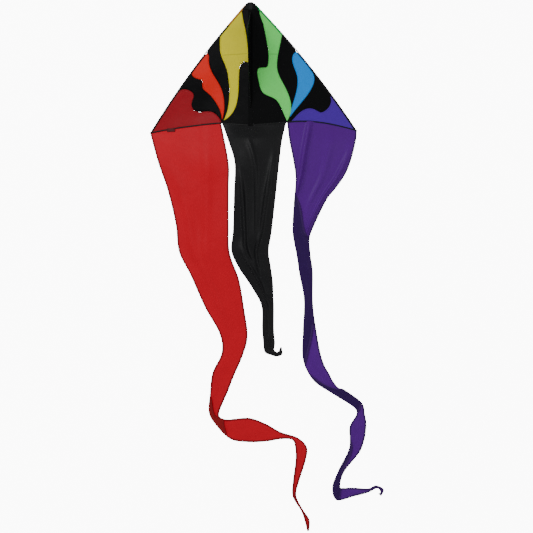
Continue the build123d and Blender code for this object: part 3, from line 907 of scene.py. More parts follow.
def outlines(mesh: bmesh.types.BMesh) -> list[Line]:
    """The closed outlines of a flat sheet, each walked with the cloth on its left."""
    left = dict.fromkeys(edge for edge in mesh.edges if edge.is_boundary)
    lines = []
    while left:
        edge = next(iter(left))
        del left[edge]
        start, here = edge.verts
        points = [start.co.copy(), here.co.copy()]
        while here is not start:
            edge = next((e for e in here.link_edges if e in left), None)
            if edge is None:
                break
            del left[edge]
            here = edge.other_vert(here)
            points.append(here.co.copy())
        turn = sum(a.x * b.z - b.x * a.z for a, b in zip(points, points[1:]))
        lines.append(Line(points if turn > 0 else points[::-1]))
    return lines


def flat_area(mesh: bmesh.types.BMesh) -> float:
    """The area of a flat mesh."""
    return sum(face.calc_area() for face in mesh.faces)


def take_in(mesh: bmesh.types.BMesh, crumb: bmesh.types.BMesh) -> None:
    """Add a small loose bit of cloth to a larger one.

    Args:
        mesh: the larger one.
        crumb: the small one, which is used up.
    """
    carrier = bpy.data.meshes.new("crumb")
    crumb.to_mesh(carrier)
    crumb.free()
    mesh.from_mesh(carrier)
    bpy.data.meshes.remove(carrier)


def grow(mesh: bmesh.types.BMesh, reach: float) -> None:
    """Push a flat (u, z) mesh's outline outwards, so that a panel laps over the sail's opening.

    Args:
        mesh: the flat mesh.
        reach: how far.
    """
    moves: dict[bmesh.types.BMVert, Vector] = {}
    for edge in mesh.edges:
        if edge.is_boundary:
            along = edge.verts[1].co - edge.verts[0].co
            out = Vector((-along.z, 0, along.x)).normalized()
            if out.dot(edge.link_faces[0].calc_center_median() - edge.verts[0].co) > 0:
                out.negate()
            for vertex in edge.verts:
                moves[vertex] = moves.get(vertex, Vector()) + out
    for vertex, move in moves.items():
        vertex.co += move.normalized() * reach


def girth(section: Sequence[tuple[float, float]]) -> list[float]:
    """How far round a section each of its points is, from the first."""
    reached = [0.0]
    for here, there in zip(section, section[1:]):
        reached.append(reached[-1] + math.dist(here, there))
    return reached


def declare(piece: bpy.types.Object, flat: Sequence[Vector], area: float, held: str, on: Sequence[str],
            pieces: Sequence[bpy.types.Object] = ()) -> None:
    """Declare a piece as cloth, cut from the smallest rectangle that its flat points fit in.

    Args:
        piece: the sheet.
        flat: its cut's flat points, as (u, anything, z).
        area: the cut's flat area.
        held: how it is held.
        on: what it hangs from or lies on.
        pieces: hems and seams that go with it.
    """
    best = None
    for degrees in range(0, 90, 3):
        angle = math.radians(degrees)
        across = [p.x * math.cos(angle) + p.z * math.sin(angle) for p in flat]
        along = [p.z * math.cos(angle) - p.x * math.sin(angle) for p in flat]
        size = (max(across) - min(across), max(along) - min(along))
        if best is None or size[0] * size[1] < best[0] * best[1]:
            best = size
    LOG.info("%s: cut from %.3f by %.3f m, %.4f square metres", piece.name, *best, area)
    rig.sheet(piece, flat=best, held=held, rests_on=list(on), area=min(area, best[0] * best[1]),
             with_pieces=list(pieces))


# ---------------------------------------------------------------- wings


class WingMaker:
    """Sews one wing: the black sail, its colour panels, seams, bindings and patches."""

    SEAM = (0.0, 0.004, 0.008)
    SLIVER = 0.0005

    def __init__(self, bench: Bench, side: Side, panels: dict[str, str]) -> None:
        """Keep what the wing is made of.

        Args:
            bench: makes the cloth.
            side: which wing.
            panels: the finish of each colour panel's node.
        """
        self.bench = bench
        self.side = side
        self.panels = panels
        self.trailing = self.read_trailing()

    def read_trailing(self) -> list[tuple[float, float]]:
        """The trailing edge as flat (u, z) points, read off the hem and the tail's header."""
        word = self.side.word
        start = PLAN.tail_start(self.side)
        low: dict[float, float] = {}
        for vertex in frame["nodes"][f"{word}_trailing_hem"].data.vertices:
            flat = PLAN.flat(vertex.co, self.side)
            if flat.x < start:
                key = round(flat.x, 4)
                low[key] = min(low.get(key, 0.0), flat.z)
        high: dict[float, float] = {}
        for vertex in frame["nodes"][f"{word}_tail_header"].data.vertices:
            flat = PLAN.flat(vertex.co, self.side)
            key = round(flat.x, 4)
            high[key] = max(high.get(key, -9.0), flat.z)
        return sorted([*low.items(), *high.items()])

    def edge_z(self, u: float) -> float:
        """The trailing edge's height at u."""
        points = self.trailing
        if u >= points[-1][0]:
            (a, low), (b, high) = points[-4], points[-1]
            return low + (high - low) * (u - a) / (b - a)
        for (a, low), (b, high) in zip(points, points[1:]):
            if u <= b:
                return low + (high - low) * max(u - a, 0.0) / (b - a)
        return points[-1][1]

    def stand(self, u: float, z: float, behind: float) -> Vector:
        """Where a flat point of the billowed cloth stands."""
        return PLAN.place(u, z, self.side, behind + PLAN.billow(u, z))

    def cloth(self, node: str, finish: str, behind: float, held: str = "stretched",
              seams: bool = False) -> None:
        """Make one flat wing piece, with a stitched seam inside its outline if asked for.

        Args:
            node: the CAD node.
            finish: the material's name.
            behind: how far behind the sail's plane it lies.
            held: how it is held.
            seams: whether it has a seam inside its outline.
        """
        whole = Bench.flat_faces(node, lambda point: PLAN.flat(point, self.side), 0.022)
        parts = islands(whole)
        crumbs = [flat for flat in parts if flat_area(flat) < self.SLIVER]
        parts = [flat for flat in parts if flat not in crumbs]
        largest = max(parts, key=flat_area)
        for part, flat in enumerate(parts, 1):
            name = f"{node}_cloth_{part}"
            lines = outlines(flat)
            points = [vertex.co.copy() for vertex in flat.verts]
            while crumbs and flat is largest:
                take_in(flat, crumbs.pop())
            area = flat_area(flat)
            self.bench.map_flat(flat)
            if seams:
                grow(flat, 0.002)
            for vertex in flat.verts:
                vertex.co = self.stand(vertex.co.x, vertex.co.z, behind)
            piece = self.bench.finish_mesh(name, flat, 0.0004, finish)
            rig.ride(piece, self.side.body)
            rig.replaces(piece, node)
            strips = []
            for number, line in enumerate(lines if seams else [], 1):
                strips.append(self.seam(f"{node}_seam_{number}", line, finish, behind - 0.0005))
            declare(piece, points, area, held, [f"{self.side.word}_spar"], strips)

    def seam(self, name: str, line: Line, finish: str, behind: float) -> bpy.types.Object:
        """A stitched strip just inside a line."""

        def surface(share: float, column: float) -> Vector:
            """The place at a share along and a column across."""
            point = line.at(share) + line.inward(share) * (0.001 + self.SEAM[round(column)])
            return self.stand(point.x, point.z, behind)

        piece = self.bench.strip(name, line, surface, self.SEAM, f"{finish}_seam", 0.0003, 0.012)
        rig.slot(piece, finish)
        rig.ride(piece, self.side.body)
        return piece

    def pocket(self, node: str, start: float, end: float, finish: str) -> None:
        """A length of the leading edge's pocket: cloth round the spar, sewn to the sail.

        Args:
            node: the CAD node it replaces.
            start: how far from the nose it starts.
            end: how far from the nose it ends.
            finish: the material's name.
        """
        radius, flange = 0.0041, 0.019
        columns = [(flange, -0.0016), (0.0145, -0.0017), (0.0105, -0.0019)]
        for number in range(9):
            angle = math.radians(-62 - number * 236 / 8)
            columns.append((PLAN.spar_inset + radius * math.cos(angle), radius * math.sin(angle)))
        columns += [(0.0105, 0.0021), (0.0145, 0.0018), (flange, 0.0017)]
        around = girth(columns)
        across = around[-1]
        widths = [abs(reached - across / 2) for reached in around]
        line = Line([Vector((*PLAN.edge(start + (end - start) * k / 40, 0.0), 0)) for k in range(41)])

        def surface(share: float, column: float) -> Vector:
            """The place at a share along and a column across."""
            inset, behind = columns[round(column)]
            distance = start + (end - start) * share
            pucker = 0.0004 * math.sin(distance * 260) * (1 if inset < 0.004 else 0)
            u, z = PLAN.edge(distance, inset + pucker)
            return PLAN.place(u, z, self.side, behind)

        piece = self.bench.strip(f"{node}_cloth", line, surface, widths, finish, 0.0004, 0.008)
        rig.ride(piece, self.side.body)
        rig.replaces(piece, node)
        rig.sheet(piece, flat=(across, end - start), held="folded", rests_on=[f"{self.side.word}_spar"])

    def binding(self) -> None:
        """The tape folded over the trailing edge, all the way to the tip."""
        columns = [(0.012, -0.0016), (0.006, -0.0017), (0.001, -0.0014), (-0.0006, 0.0),
                   (0.001, 0.0016), (0.006, 0.0019), (0.012, 0.0018)]
        first, last = 0.0215, PLAN.half_span - 0.004
        line = Line([Vector((u, 0, self.edge_z(u))) for u in
                     (first + (last - first) * k / 120 for k in range(121))])

        def surface(share: float, column: float) -> Vector:
            """The place at a share along and a column across."""
            rise, behind = columns[round(column)]
            point = line.at(share)
            up = line.inward(share)
            return self.stand(point.x + up.x * rise, point.z + up.z * rise, behind)

        widths = [rise for rise, _ in columns]
        node = f"{self.side.word}_trailing_hem"
        piece = self.bench.strip(f"{node}_tape", line, surface, widths, "black_tape", 0.0004, 0.010)
        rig.ride(piece, self.side.body)
        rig.replaces(piece, node)
        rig.sheet(piece, flat=(0.0265, line.length), held="folded", rests_on=[f"{self.side.word}_sail"])

    def build(self) -> None:
        """Sew the wing."""
        word = self.side.word
        self.cloth(f"{word}_sail", "black_cloth", 0.0003)
        for node, finish in self.panels.items():
            self.cloth(node, finish, -0.0002, seams=True)
        self.cloth(f"{word}_nose_patch", "black_cloth", -0.0019, seams=True)
        self.cloth(f"{word}_tip_patch", "black_cloth", 0.0022, seams=True)
        self.binding()


# ---------------------------------------------------------------- tails


@dataclass(frozen=True)
class Flap:
    """A tail's left margin turned over onto its face, growing over some ribs and back to nothing."""

    start: float
    full: float
    easing: float
    end: float
    share: float
    lift: float = 0.012

    def width(self, at: float) -> float:
        """The turned margin's share of the tail's width at a rib number."""
        if not self.start < at < self.end:
            return 0.0
        grown = min(max((at - self.start) / (self.full - self.start), 0.0), 1.0)
        left = min(max((self.end - at) / (self.end - self.easing), 0.0), 1.0)
        return self.share * min(grown, left)


@dataclass(frozen=True)
class Fold:
    """A soft fold from one place on a tail to another, each (rib number, share across)."""

    start: tuple[float, float]
    end: tuple[float, float]
    depth: float
    width: float = 0.09

    def height(self, at: float, across: float) -> float:
        """How far the fold stands out of the cloth at a place."""
        length = self.end[0] - self.start[0]
        part = (at - self.start[0]) / length
        if not -0.25 < part < 1.25:
            return 0.0
        middle = self.start[1] + (self.end[1] - self.start[1]) * part
        fade = smooth_step(-0.25, 0.2, part) * smooth_step(1.25, 0.8, part)
        return self.depth * fade * math.exp(-(((across - middle) / self.width) ** 2))


Rib = tuple[Point, Point]


@dataclass(frozen=True)
class TailPlan:
    """A ribbon tail: its ribs from the top down, each a left and a right point in millimetres."""

    name: str
    ribs: tuple[Rib, ...]
    flaps: tuple[Flap, ...] = ()
    folds: tuple[Fold, ...] = ()
    ripple: float = 0.004
    hem: float = 0.018
    top: Optional[Callable[[float], Vector]] = None

    def point(self, at: float, share: float) -> Vector:
        """A place on the tail.

        Args:
            at: the rib number, with parts.
            share: how far across the cloth, from its left edge.

        Returns:
            The point in metres.
        """
        across, lift = share, 0.0
        for flap in self.flaps:
            turned = flap.width(at)
            if turned <= 0:
                continue
            distance = share * (1 + turned) - turned
            soft = 0.03 * min(turned / 0.1, 1.0)
            lift -= flap.lift * min(turned / 0.2, 1.0) * (0.5 - 0.5 * math.tanh(distance / (soft + 0.001)))
            across = math.hypot(distance, soft) - soft
        left = through([rib[0] for rib in self.ribs], at)
        right = through([rib[1] for rib in self.ribs], at)
        point = left.lerp(right, across) * 0.001
        width = (right - left).length * 0.001
        wave = math.sin(at * 1.9 + across * 5.0) + 0.5 * math.sin(at * 3.7 - across * 8.0)
        belly = math.sin(math.pi * min(max(across, 0.0), 1.0))
        point.y += self.ripple * wave * min(width / 0.1, 1.0) * (0.35 + 0.65 * belly) * smooth_step(0.2, 1.5, at)
        point.y += lift + sum(fold.height(at, across) for fold in self.folds)
        if self.top and at < 1:
            chord = Vector(self.ribs[0][0]).lerp(Vector(self.ribs[0][1]), across) * 0.001
            point += (self.top(across) - chord) * (1 - smooth_step(0.0, 1.0, at))
        return point

    def beside(self, at: float, share: float, offset: float) -> Vector:
        """A place this far off the cloth's face, in front where the offset is below nought."""
        step = 0.01
        down = self.point(min(at + step, len(self.ribs) - 1), share) - self.point(max(at - step, 0.0), share)
        out = self.point(at, min(share + step, 1.0)) - self.point(at, max(share - step, 0.0))
        normal = down.cross(out).normalized()
        return self.point(at, share) - normal * offset

    def middle_line(self, start: float, end: float) -> Line:
        """The tail's centre line between two rib numbers."""
        count = max(8, int((end - start) * 12))
        return Line([self.point(start + (end - start) * k / count, 0.5) for k in range(count + 1)])


@dataclass(frozen=True)
class TailLength:
    """A length of tail that crosses one joint: its rib numbers, its share across, and its two bodies."""

    start: float
    end: float
    above: str
    below: str
    blend_start: Point
    blend_end: Point
    left: float = 0.0
    right: float = 1.0


class TailMaker:
    """Sews a tail from lengths, each with a hem down its sides and one across the tail's end."""

    def __init__(self, bench: Bench, plan: TailPlan, cloth: str, hem: str, back: str) -> None:
        """Keep the plan and the three finishes.

        Args:
            bench: makes the cloth.
            plan: the tail's shape.
            cloth: the finish of its face.
            hem: the finish of its hems.
            back: the finish of its coated back.
        """
        self.bench = bench
        self.plan = plan
        self.cloth = cloth
        self.hem = hem
        self.back = back

    def width(self, at: float) -> float:
        """How wide the cloth is at a rib number."""
        steps = [self.plan.point(at, k / 24) for k in range(25)]
        return sum((b - a).length for a, b in zip(steps, steps[1:]))

    def side_hem(self, name: str, part: TailLength, right: bool) -> bpy.types.Object:
        """The hem folded over one side of a length of tail."""
        plan = self.plan
        columns = [(1.0, -0.0008), (0.5, -0.0010), (0.06, -0.0007), (0.0, 0.0), (0.06, 0.0007), (0.5, 0.0010),
                   (1.0, 0.0008)]
        line = plan.middle_line(part.start, part.end)

        def surface(share: float, column: float) -> Vector:
            """The place at a share along and a column across."""
            inset, offset = columns[round(column)]
            at = part.start + (part.end - part.start) * share
            reach = inset * plan.hem / max(self.width(at), 0.02)
            return plan.beside(at, 1 - reach if right else reach, offset)

        widths = [inset * plan.hem for inset, _ in columns]
        piece = self.bench.strip(name, line, surface, widths, self.hem, 0.0003, 0.016)
        piece.modifiers["thickness"].use_rim = False
        self.turn_over(piece, part)
        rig.slot(piece, self.cloth)
        return piece

    def turn_over(self, piece: bpy.types.Object, part: TailLength) -> None:
        """Show the coated back on the stretches where the whole width is turned over.

        Args:
            piece: the cloth or a hem of this length.
            part: its place.
        """
        piece.data.materials.append(self.bench.wardrobe.materials[self.back])
        places = piece.data.uv_layers["cloth"].data
        last = max(place.uv.y for place in places)
        for face in piece.data.polygons:
            share = sum(places[loop].uv.y for loop in face.loop_indices) / face.loop_total / last
            at = part.start + (part.end - part.start) * share
            if any(flap.width(at) > 0.85 for flap in self.plan.flaps):
                face.material_index = 1

    def end_hem(self, name: str, part: TailLength) -> bpy.types.Object:
        """The hem across the tail's lower end."""
        plan = self.plan
        last = part.end
        length = plan.middle_line(last - 1, last).length
        columns = [(1.0, -0.0012), (0.5, -0.0014), (0.05, -0.0010), (-0.02, 0.0), (0.05, 0.0010), (1.0, 0.0012)]
        line = Line([plan.point(last, k / 12) for k in range(13)])

        def surface(share: float, column: float) -> Vector:
            """The place at a share along and a column across."""
            inset, offset = columns[round(column)]
            return plan.beside(min(last - inset * plan.hem / length, last), share, offset)

        piece = self.bench.strip(name, line, surface, [abs(c[0]) * plan.hem for c in columns], self.hem)
        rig.slot(piece, self.cloth)
        return piece

    def build(self, number: int, part: TailLength, nodes: Sequence[str], on: str) -> None:
        """Make one length of the tail.

        Args:
            number: its number, from the top.
            part: its place and its bodies.
            nodes: the CAD nodes that it replaces.
            on: what it hangs from.
        """
        plan = self.plan
        name = f"{plan.name}_cloth_{number}"
        line = plan.middle_line(part.start, part.end)
        span = part.right - part.left
        along = max(6, math.ceil(line.length / 0.014))
        across = max(10, math.ceil(44 * span))

        def surface(down: float, out: float) -> Vector:
            """The place on the tail, a share down and a share across."""
            return plan.point(part.start + (part.end - part.start) * down, part.left + span * out)

        def flat(down: float, out: float) -> Vector:
            """The cloth's own flat place there."""
            at = part.start + (part.end - part.start) * down
            return Vector(((part.left + span * out - 0.5) * self.width(at), down * line.length, 0))

        piece = self.bench.sheet_on(name, along, across, surface, flat, 0.0004, self.cloth)
        self.turn_over(piece, part)
        piece.modifiers["thickness"].material_offset = 1
        piece.modifiers["thickness"].use_rim = False
        hems = []
        if part.left == 0:
            hems.append(self.side_hem(f"{plan.name}_left_hem_{number}", part, False))
        if part.right == 1:
            hems.append(self.side_hem(f"{plan.name}_right_hem_{number}", part, True))
        if part.end == len(plan.ribs) - 1:
            hems.append(self.end_hem(f"{plan.name}_end_hem", part))
        for each in (piece, *hems):
            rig.blend(each, part.above, part.below, part.blend_start, part.blend_end)
        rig.replaces(piece, *nodes)
        widths = [self.width(part.start + (part.end - part.start) * k / 30) * span for k in range(31)]
        area = line.length * sum(widths) / len(widths)
        flat_size = (max(widths), line.length)
        LOG.info("%s: cut from %.3f by %.3f m, %.4f square metres", name, *flat_size, area)
        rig.sheet(piece, flat=flat_size, held="hung", rests_on=[on],
                 area=min(area, flat_size[0] * flat_size[1]), with_pieces=hems)


def outer_top(wing: WingMaker) -> Callable[[float], Vector]:
    """Where an outer tail is sewn behind the trailing edge, at each share across from its left."""
    first, last = PLAN.tail_start(wing.side) + 0.004, PLAN.half_span - 0.004

    def place(share: float) -> Vector:
        """The place at a share across."""
        out = share if wing.side is Side.RIGHT else 1 - share
        u = first + (last - first) * out
        return wing.stand(u, wing.edge_z(u) + 0.006, 0.0026)

    return place


def centre_top(left: WingMaker, right: WingMaker) -> Callable[[float], Vector]:
    """Where the centre tail is sewn behind both wings' trailing edges."""
    first, last = -PLAN.tail_start(Side.LEFT) + 0.002, PLAN.tail_start(Side.RIGHT) - 0.002

    def place(share: float) -> Vector:
        """The place at a share across."""
        u = first + (last - first) * share
        wing = right if u > 0 else left
        out = max(abs(u), PLAN.fold_x + 0.002)
        point = wing.stand(out, wing.edge_z(out) + 0.006, 0.0026)
        if abs(u) < out:
            point.x = u
        return point

    return place


def top_rib(top: Callable[[float], Vector]) -> Rib:
    """The ends of a tail's top, in millimetres."""
    return tuple(top(0) * 1000), tuple(top(1) * 1000)


RED_RIBS = (
    ((-930, 480, -1175), (-215, 350, -1205)), ((-830, 470, -1460), (-215, 353, -1440)),
    ((-750, 456, -1785), (-215, 355, -1805)), ((-715, 442, -2055), (-205, 357, -2070)),
    ((-595, 425, -2290), (-115, 362, -2330)), ((-455, 412, -2595), (-65, 372, -2620)),
    ((-315, 400, -2840), (-35, 380, -2865)), ((-290, 395, -3030), (-80, 385, -3050)),
    ((-380, 392, -3230), (-170, 385, -3260)), ((-405, 390, -3445), (-245, 385, -3455)),
    ((-415, 388, -3600), (-310, 385, -3620)), ((-355, 386, -3715), (-270, 384, -3665)),
    ((-210, 384, -3860), (-170, 382, -3665)), ((-35, 380, -3890), (-15, 380, -3655)),
    ((145, 376, -3880), (145, 376, -3710)), ((285, 374, -3855), (285, 374, -3785)),
    ((390, 372, -3860), (445, 372, -3835)), ((420, 370, -3925), (535, 370, -3925)),
    ((425, 370, -4055), (525, 370, -4050)), ((400, 370, -4255), (460, 370, -4260)),
    ((398, 370, -4400), (434, 370, -4392)), ((480, 370, -4540), (497, 370, -4522)),
    ((512, 370, -4630), (560, 370, -4620)), ((537, 370, -4730), (556, 370, -4727)),
)
BLACK_RIBS = (
    ((-220, 334, -990), (300, 342, -995)), ((-155, 316, -1210), (275, 316, -1210)),
    ((-160, 308, -1495), (245, 308, -1500)), ((-170, 305, -1855), (205, 305, -1855)),
    ((-185, 304, -2050), (175, 304, -2050)), ((-115, 304, -2210), (195, 304, -2200)),
    ((-45, 304, -2315), (215, 304, -2345)), ((30, 304, -2430), (220, 304, -2490)),
    ((105, 304, -2580), (225, 304, -2580)), ((110, 304, -2795), (225, 304, -2795)),
    ((120, 304, -2920), (235, 304, -2925)), ((135, 304, -3015), (228, 304, -2985)),
    ((195, 304, -3045), (232, 304, -3000)), ((250, 304, -3058), (255, 304, -3012)),
    ((305, 304, -3035), (272, 304, -2998)), ((298, 304, -2965), (282, 304, -2968)),
)
PURPLE_RIBS = (
    ((365, 362, -990), (1000, 486, -1000)), ((400, 368, -1170), (950, 472, -1195)),
    ((425, 374, -1355), (880, 452, -1350)), ((410, 380, -1565), (730, 428, -1565)),
    ((395, 384, -1795), (600, 407, -1830)), ((400, 386, -1915), (565, 402, -1945)),
    ((435, 386, -2100), (575, 396, -2100)), ((460, 386, -2270), (595, 392, -2255)),
    ((505, 386, -2520), (595, 390, -2550)), ((495, 386, -2810), (630, 390, -2815)),
    ((495, 386, -3090), (695, 388, -3110)), ((595, 386, -3290), (820, 388, -3335)),
    ((785, 384, -3420), (900, 386, -3375)), ((970, 382, -3535), (1060, 384, -3495)),
    ((1005, 380, -3605), (1090, 382, -3615)), ((940, 378, -3730), (1100, 380, -3740)),
    ((935, 376, -3930), (1055, 378, -3945)), ((830, 374, -4150), (895, 376, -4155)),
    ((775, 372, -4310), (855, 374, -4295)), ((820, 372, -4430), (895, 372, -4305)),
    ((985, 372, -4390), (985, 372, -4305)), ((1115, 372, -4352), (1115, 372, -4310)),
    ((1200, 372, -4310), (1192, 372, -4279)), ((1233, 372, -4341), (1266, 372, -4317)),
    ((1213, 372, -4359), (1240, 372, -4384)),
)


def build_outer_tail(bench: Bench, plan: TailPlan, side: Side, colour: str, joints: Sequence[Point]) -> None:
    """Make an outer tail, whose lengths each cross one of its four joints.

    Args:
        bench: makes the cloth.
        plan: its shape, with the trailing edge as rib 0.
        side: the wing that it hangs from.
        colour: the tail's name in its nodes and bodies.
        joints: the rib number of each joint, and those where its lengths meet.
    """
    maker = TailMaker(bench, plan, f"{colour}_tail_cloth", f"{colour}_hem", f"{colour}_tail_back")
    bodies = [side.body, *(f"{colour}_tail_{letter}" for letter in "abcd")]
    starts = [0.0, *((low + high) / 2 for low, high in zip(joints, joints[1:])), len(plan.ribs) - 1.0]
    for number, joint in enumerate(joints):
        low = plan.point(joint - 0.25 if number else 0.02, 0.5)
        high = plan.point(joint + (0.25 if number else 0.8), 0.5)
        part = TailLength(starts[number], starts[number + 1], bodies[number], bodies[number + 1], tuple(low),
                          tuple(high))
        nodes, on = [f"{colour}_tail_{number + 1}"], f"{colour}_tail_cloth_{number}"
        if number == 0:
            nodes.append(f"{side.word}_tail_header")
            on = f"{side.word}_sail"
        maker.build(number + 1, part, nodes, on)


def build_black_tail(bench: Bench, top: Callable[[float], Vector]) -> None:
    """Make the centre tail, whose top folds with both wings.

    Args:
        bench: makes the cloth.
        top: where its top edge is.
    """
    plan = TailPlan(
        "black_tail", (top_rib(top), *BLACK_RIBS), ripple=0.006, top=top,
        folds=(Fold((2.6, 0.16), (5.4, 0.44), -0.030, 0.045), Fold((1.2, 0.40), (4.2, 0.62), -0.018, 0.045),
               Fold((2.2, 0.82), (6.2, 0.60), -0.022, 0.045), Fold((5.0, 0.30), (8.0, 0.55), -0.022, 0.06),
               Fold((8.0, 0.35), (11.5, 0.6), -0.012, 0.12)),
    )
    maker = TailMaker(bench, plan, "black_tail_cloth", "black_tape", "black_tail_cloth")
    parts = [
        TailLength(0.0, 0.6, "left_wing", "spine", (-0.07, 0.3, -0.9), (0.0, 0.29, -0.9), 0.0, 0.46),
        TailLength(0.0, 0.6, "right_wing", "spine", (0.07, 0.3, -0.9), (0.0, 0.29, -0.9), 0.46, 1.0),
        TailLength(0.6, 2.0, "left_wing", "spine", (-0.1, 0.32, -0.945), (-0.1, 0.31, -1.2), 0.0, 0.46),
        TailLength(0.6, 2.0, "right_wing", "spine", (0.1, 0.32, -0.945), (0.1, 0.31, -1.2), 0.46, 1.0),
        TailLength(2.0, 3.5, "spine", "black_tail_a", (0.04, 0.31, -1.215), (0.04, 0.31, -1.42)),
        TailLength(3.5, 6.0, "black_tail_a", "black_tail_b", (0.02, 0.305, -1.74), (0.02, 0.305, -1.97)),
        TailLength(6.0, 16.0, "black_tail_b", "black_tail_c", (0.12, 0.304, -2.36), (0.14, 0.304, -2.56)),
    ]
    nodes = [*["centre_tail_yoke"] * 4, "black_tail_1", "black_tail_2", "black_tail_3"]
    for number, (part, node) in enumerate(zip(parts, nodes), 1):
        maker.build(number, part, [node], "centre_strip")


# ---------------------------------------------------------------- centre, keel and fittings


class CentreMaker:
    """Makes what stays with the spine: strip, pocket, patch, sleeve and keel."""

    def __init__(self, bench: Bench) -> None:
        """Keep the bench."""
        self.bench = bench

    def upright_strip(self, node: str, half: float, low: float, high: float, y: float, finish: str) -> None:
        """A flat upright strip centred on the spine."""
        line = Line([Vector((0, y, low)), Vector((0, y, high))])
        columns = [-half, -half * 0.93, 0.0, half * 0.93, half]

        def surface(share: float, column: float) -> Vector:
            """The place at a share along and a column across."""
            return Vector((columns[round(column)], y, high + (low - high) * share))

        piece = self.bench.strip(f"{node}_cloth", line, surface, [half - abs(c) for c in columns], finish)
        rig.ride(piece, "spine")
        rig.replaces(piece, node)
        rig.sheet(piece, flat=(2 * half, high - low), held="stretched", rests_on=["spine_rod"])

    def spine_pocket(self) -> None:
        """The cloth sleeve round the spine, sewn to the centre strip on both sides."""
        low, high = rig.box("spine_pocket")
        centre_y = (low.y + high.y) / 2
        radius = (high.y - low.y) / 2
        base = 0.2912
        columns = [(-0.014, base), (-0.010, base + 0.0002), (-0.0056, base + 0.0012)]
        for number in range(9):
            angle = math.radians(205 - number * 230 / 8)
            columns.append((radius * math.cos(angle), centre_y + radius * math.sin(angle)))
        columns += [(0.0056, base + 0.0012), (0.010, base + 0.0002), (0.014, base)]
        around = girth(columns)
        across = around[-1]
        line = Line([Vector((0, 0, high.z)), Vector((0, 0, low.z))])

        def surface(share: float, column: float) -> Vector:
            """The place at a share along and a column across."""
            x, y = columns[round(column)]
            z = high.z + (low.z - high.z) * share
            return Vector((x, y + 0.0003 * math.sin(z * 170) * (y > base + 0.002), z))

        widths = [min(reached, across - reached) for reached in around]
        piece = self.bench.strip("spine_pocket_cloth", line, surface, widths, "black_tape", 0.0004, 0.012)
        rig.ride(piece, "spine")
        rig.replaces(piece, "spine_pocket")
        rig.sheet(piece, flat=(across, high.z - low.z), held="folded", rests_on=["spine_rod"])

    def spreader_sleeve(self) -> None:
        """The flexible sleeve that joins the two spreader rods, in two halves that bend at the spine."""
        low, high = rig.box("spreader_sleeve")
        outer, bore = 0.0046, 0.0031
        z = (low.z + high.z) / 2
        points = []
        for share in range(21):
            u = 0.064 * share / 20
            point = PLAN.place(max(u, 0.036), z, Side.RIGHT, 0.016)
            flat_y = PLAN.place(0.036, z, Side.RIGHT, 0.016).y - 0.0035
            points.append(Vector((point.x * min(1.0, u / 0.036), point.y if u > 0.036 else
                                  flat_y + 0.0035 * (u / 0.036) ** 2, z)))
        for side in Side:
            line = Line([Vector((side.value * p.x, p.y, p.z)) for p in points])

            def surface(share: float, column: float) -> Vector:
                """The place at a share along and a column across."""
                way = (line.at(share + 0.02) - line.at(share - 0.02)).normalized()
                side_way = way.cross(Vector((0, 0, 1))).normalized()
                angle = math.radians(round(column) * 30) * side.value
                swell = 1.0 - 0.10 * smooth_step(0.93, 1.0, share)
                ribs = 1.0 + 0.03 * math.cos(share * line.length / 0.004 * 2 * math.pi)
                spoke = side_way * math.cos(angle) + Vector((0, 0, 1)) * math.sin(angle)
                return line.at(share) + spoke * outer * swell * ribs

            piece = self.bench.strip(f"spreader_sleeve_{side.word}", line, surface,
                                     [outer * math.radians(k * 30) for k in range(13)], "vinyl", 0.0, 0.0008)
            wall = piece.modifiers.new("wall", "SOLIDIFY")
            wall.thickness = outer - bore
            wall.offset = -1.0
            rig.blend(piece, side.body, "spine", (side.value * 0.034, 0.3, z), (side.value * 0.002, 0.3, z))
            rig.replaces(piece, "spreader_sleeve")

    def keel(self) -> None:
        """The keel's cloth, its taped edges and the reinforced apex."""

        def lay_flat(point: Vector) -> Vector:
            """Turn the keel's side view to face forward."""
            return Vector((point.y, -point.x, point.z))

        flat = Bench.flat_faces("keel_panel", lay_flat, 0.022)
        line = max(outlines(flat), key=lambda each: each.length)
        points = [vertex.co.copy() for vertex in flat.verts]
        area = flat_area(flat)
        self.bench.map_flat(flat)
        for vertex in flat.verts:
            vertex.co = Vector((self.sway(vertex.co.x, vertex.co.z), vertex.co.x, vertex.co.z))
        panel = self.bench.finish_mesh("keel_cloth", flat, 0.0004, "black_cloth")
        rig.ride(panel, "keel")
        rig.replaces(panel, "keel_panel")
        columns = [(0.013, -0.0009), (0.006, -0.0011), (0.0005, -0.0007), (-0.0006, 0.0), (0.0005, 0.0007),
                   (0.006, 0.0011), (0.013, 0.0009)]

        def surface(share: float, column: float) -> Vector:
            """The place at a share along and a column across."""
            inset, offset = columns[round(column)]
            inward = line.inward(share, 0.006)
            point = line.at(share) + inward * inset
            return Vector((self.sway(point.x, point.z) + offset, point.x, point.z))

        tape = self.bench.strip("keel_tape", line, surface, [c[0] for c in columns], "black_tape", 0.0003, 0.006)
        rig.ride(tape, "keel")
        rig.replaces(tape, "keel_edge_tape")
        declare(panel, points, area, "stretched", ["centre_strip"], [tape])
        self.apex_patch()

    @staticmethod
    def sway(y: float, z: float) -> float:
        """How far the keel's cloth stands to one side."""
        room = smooth_step(0.02, 0.12, y) * smooth_step(0.285, 0.20, y)
        return 0.003 * room * math.sin(6.0 * z + 1.0)

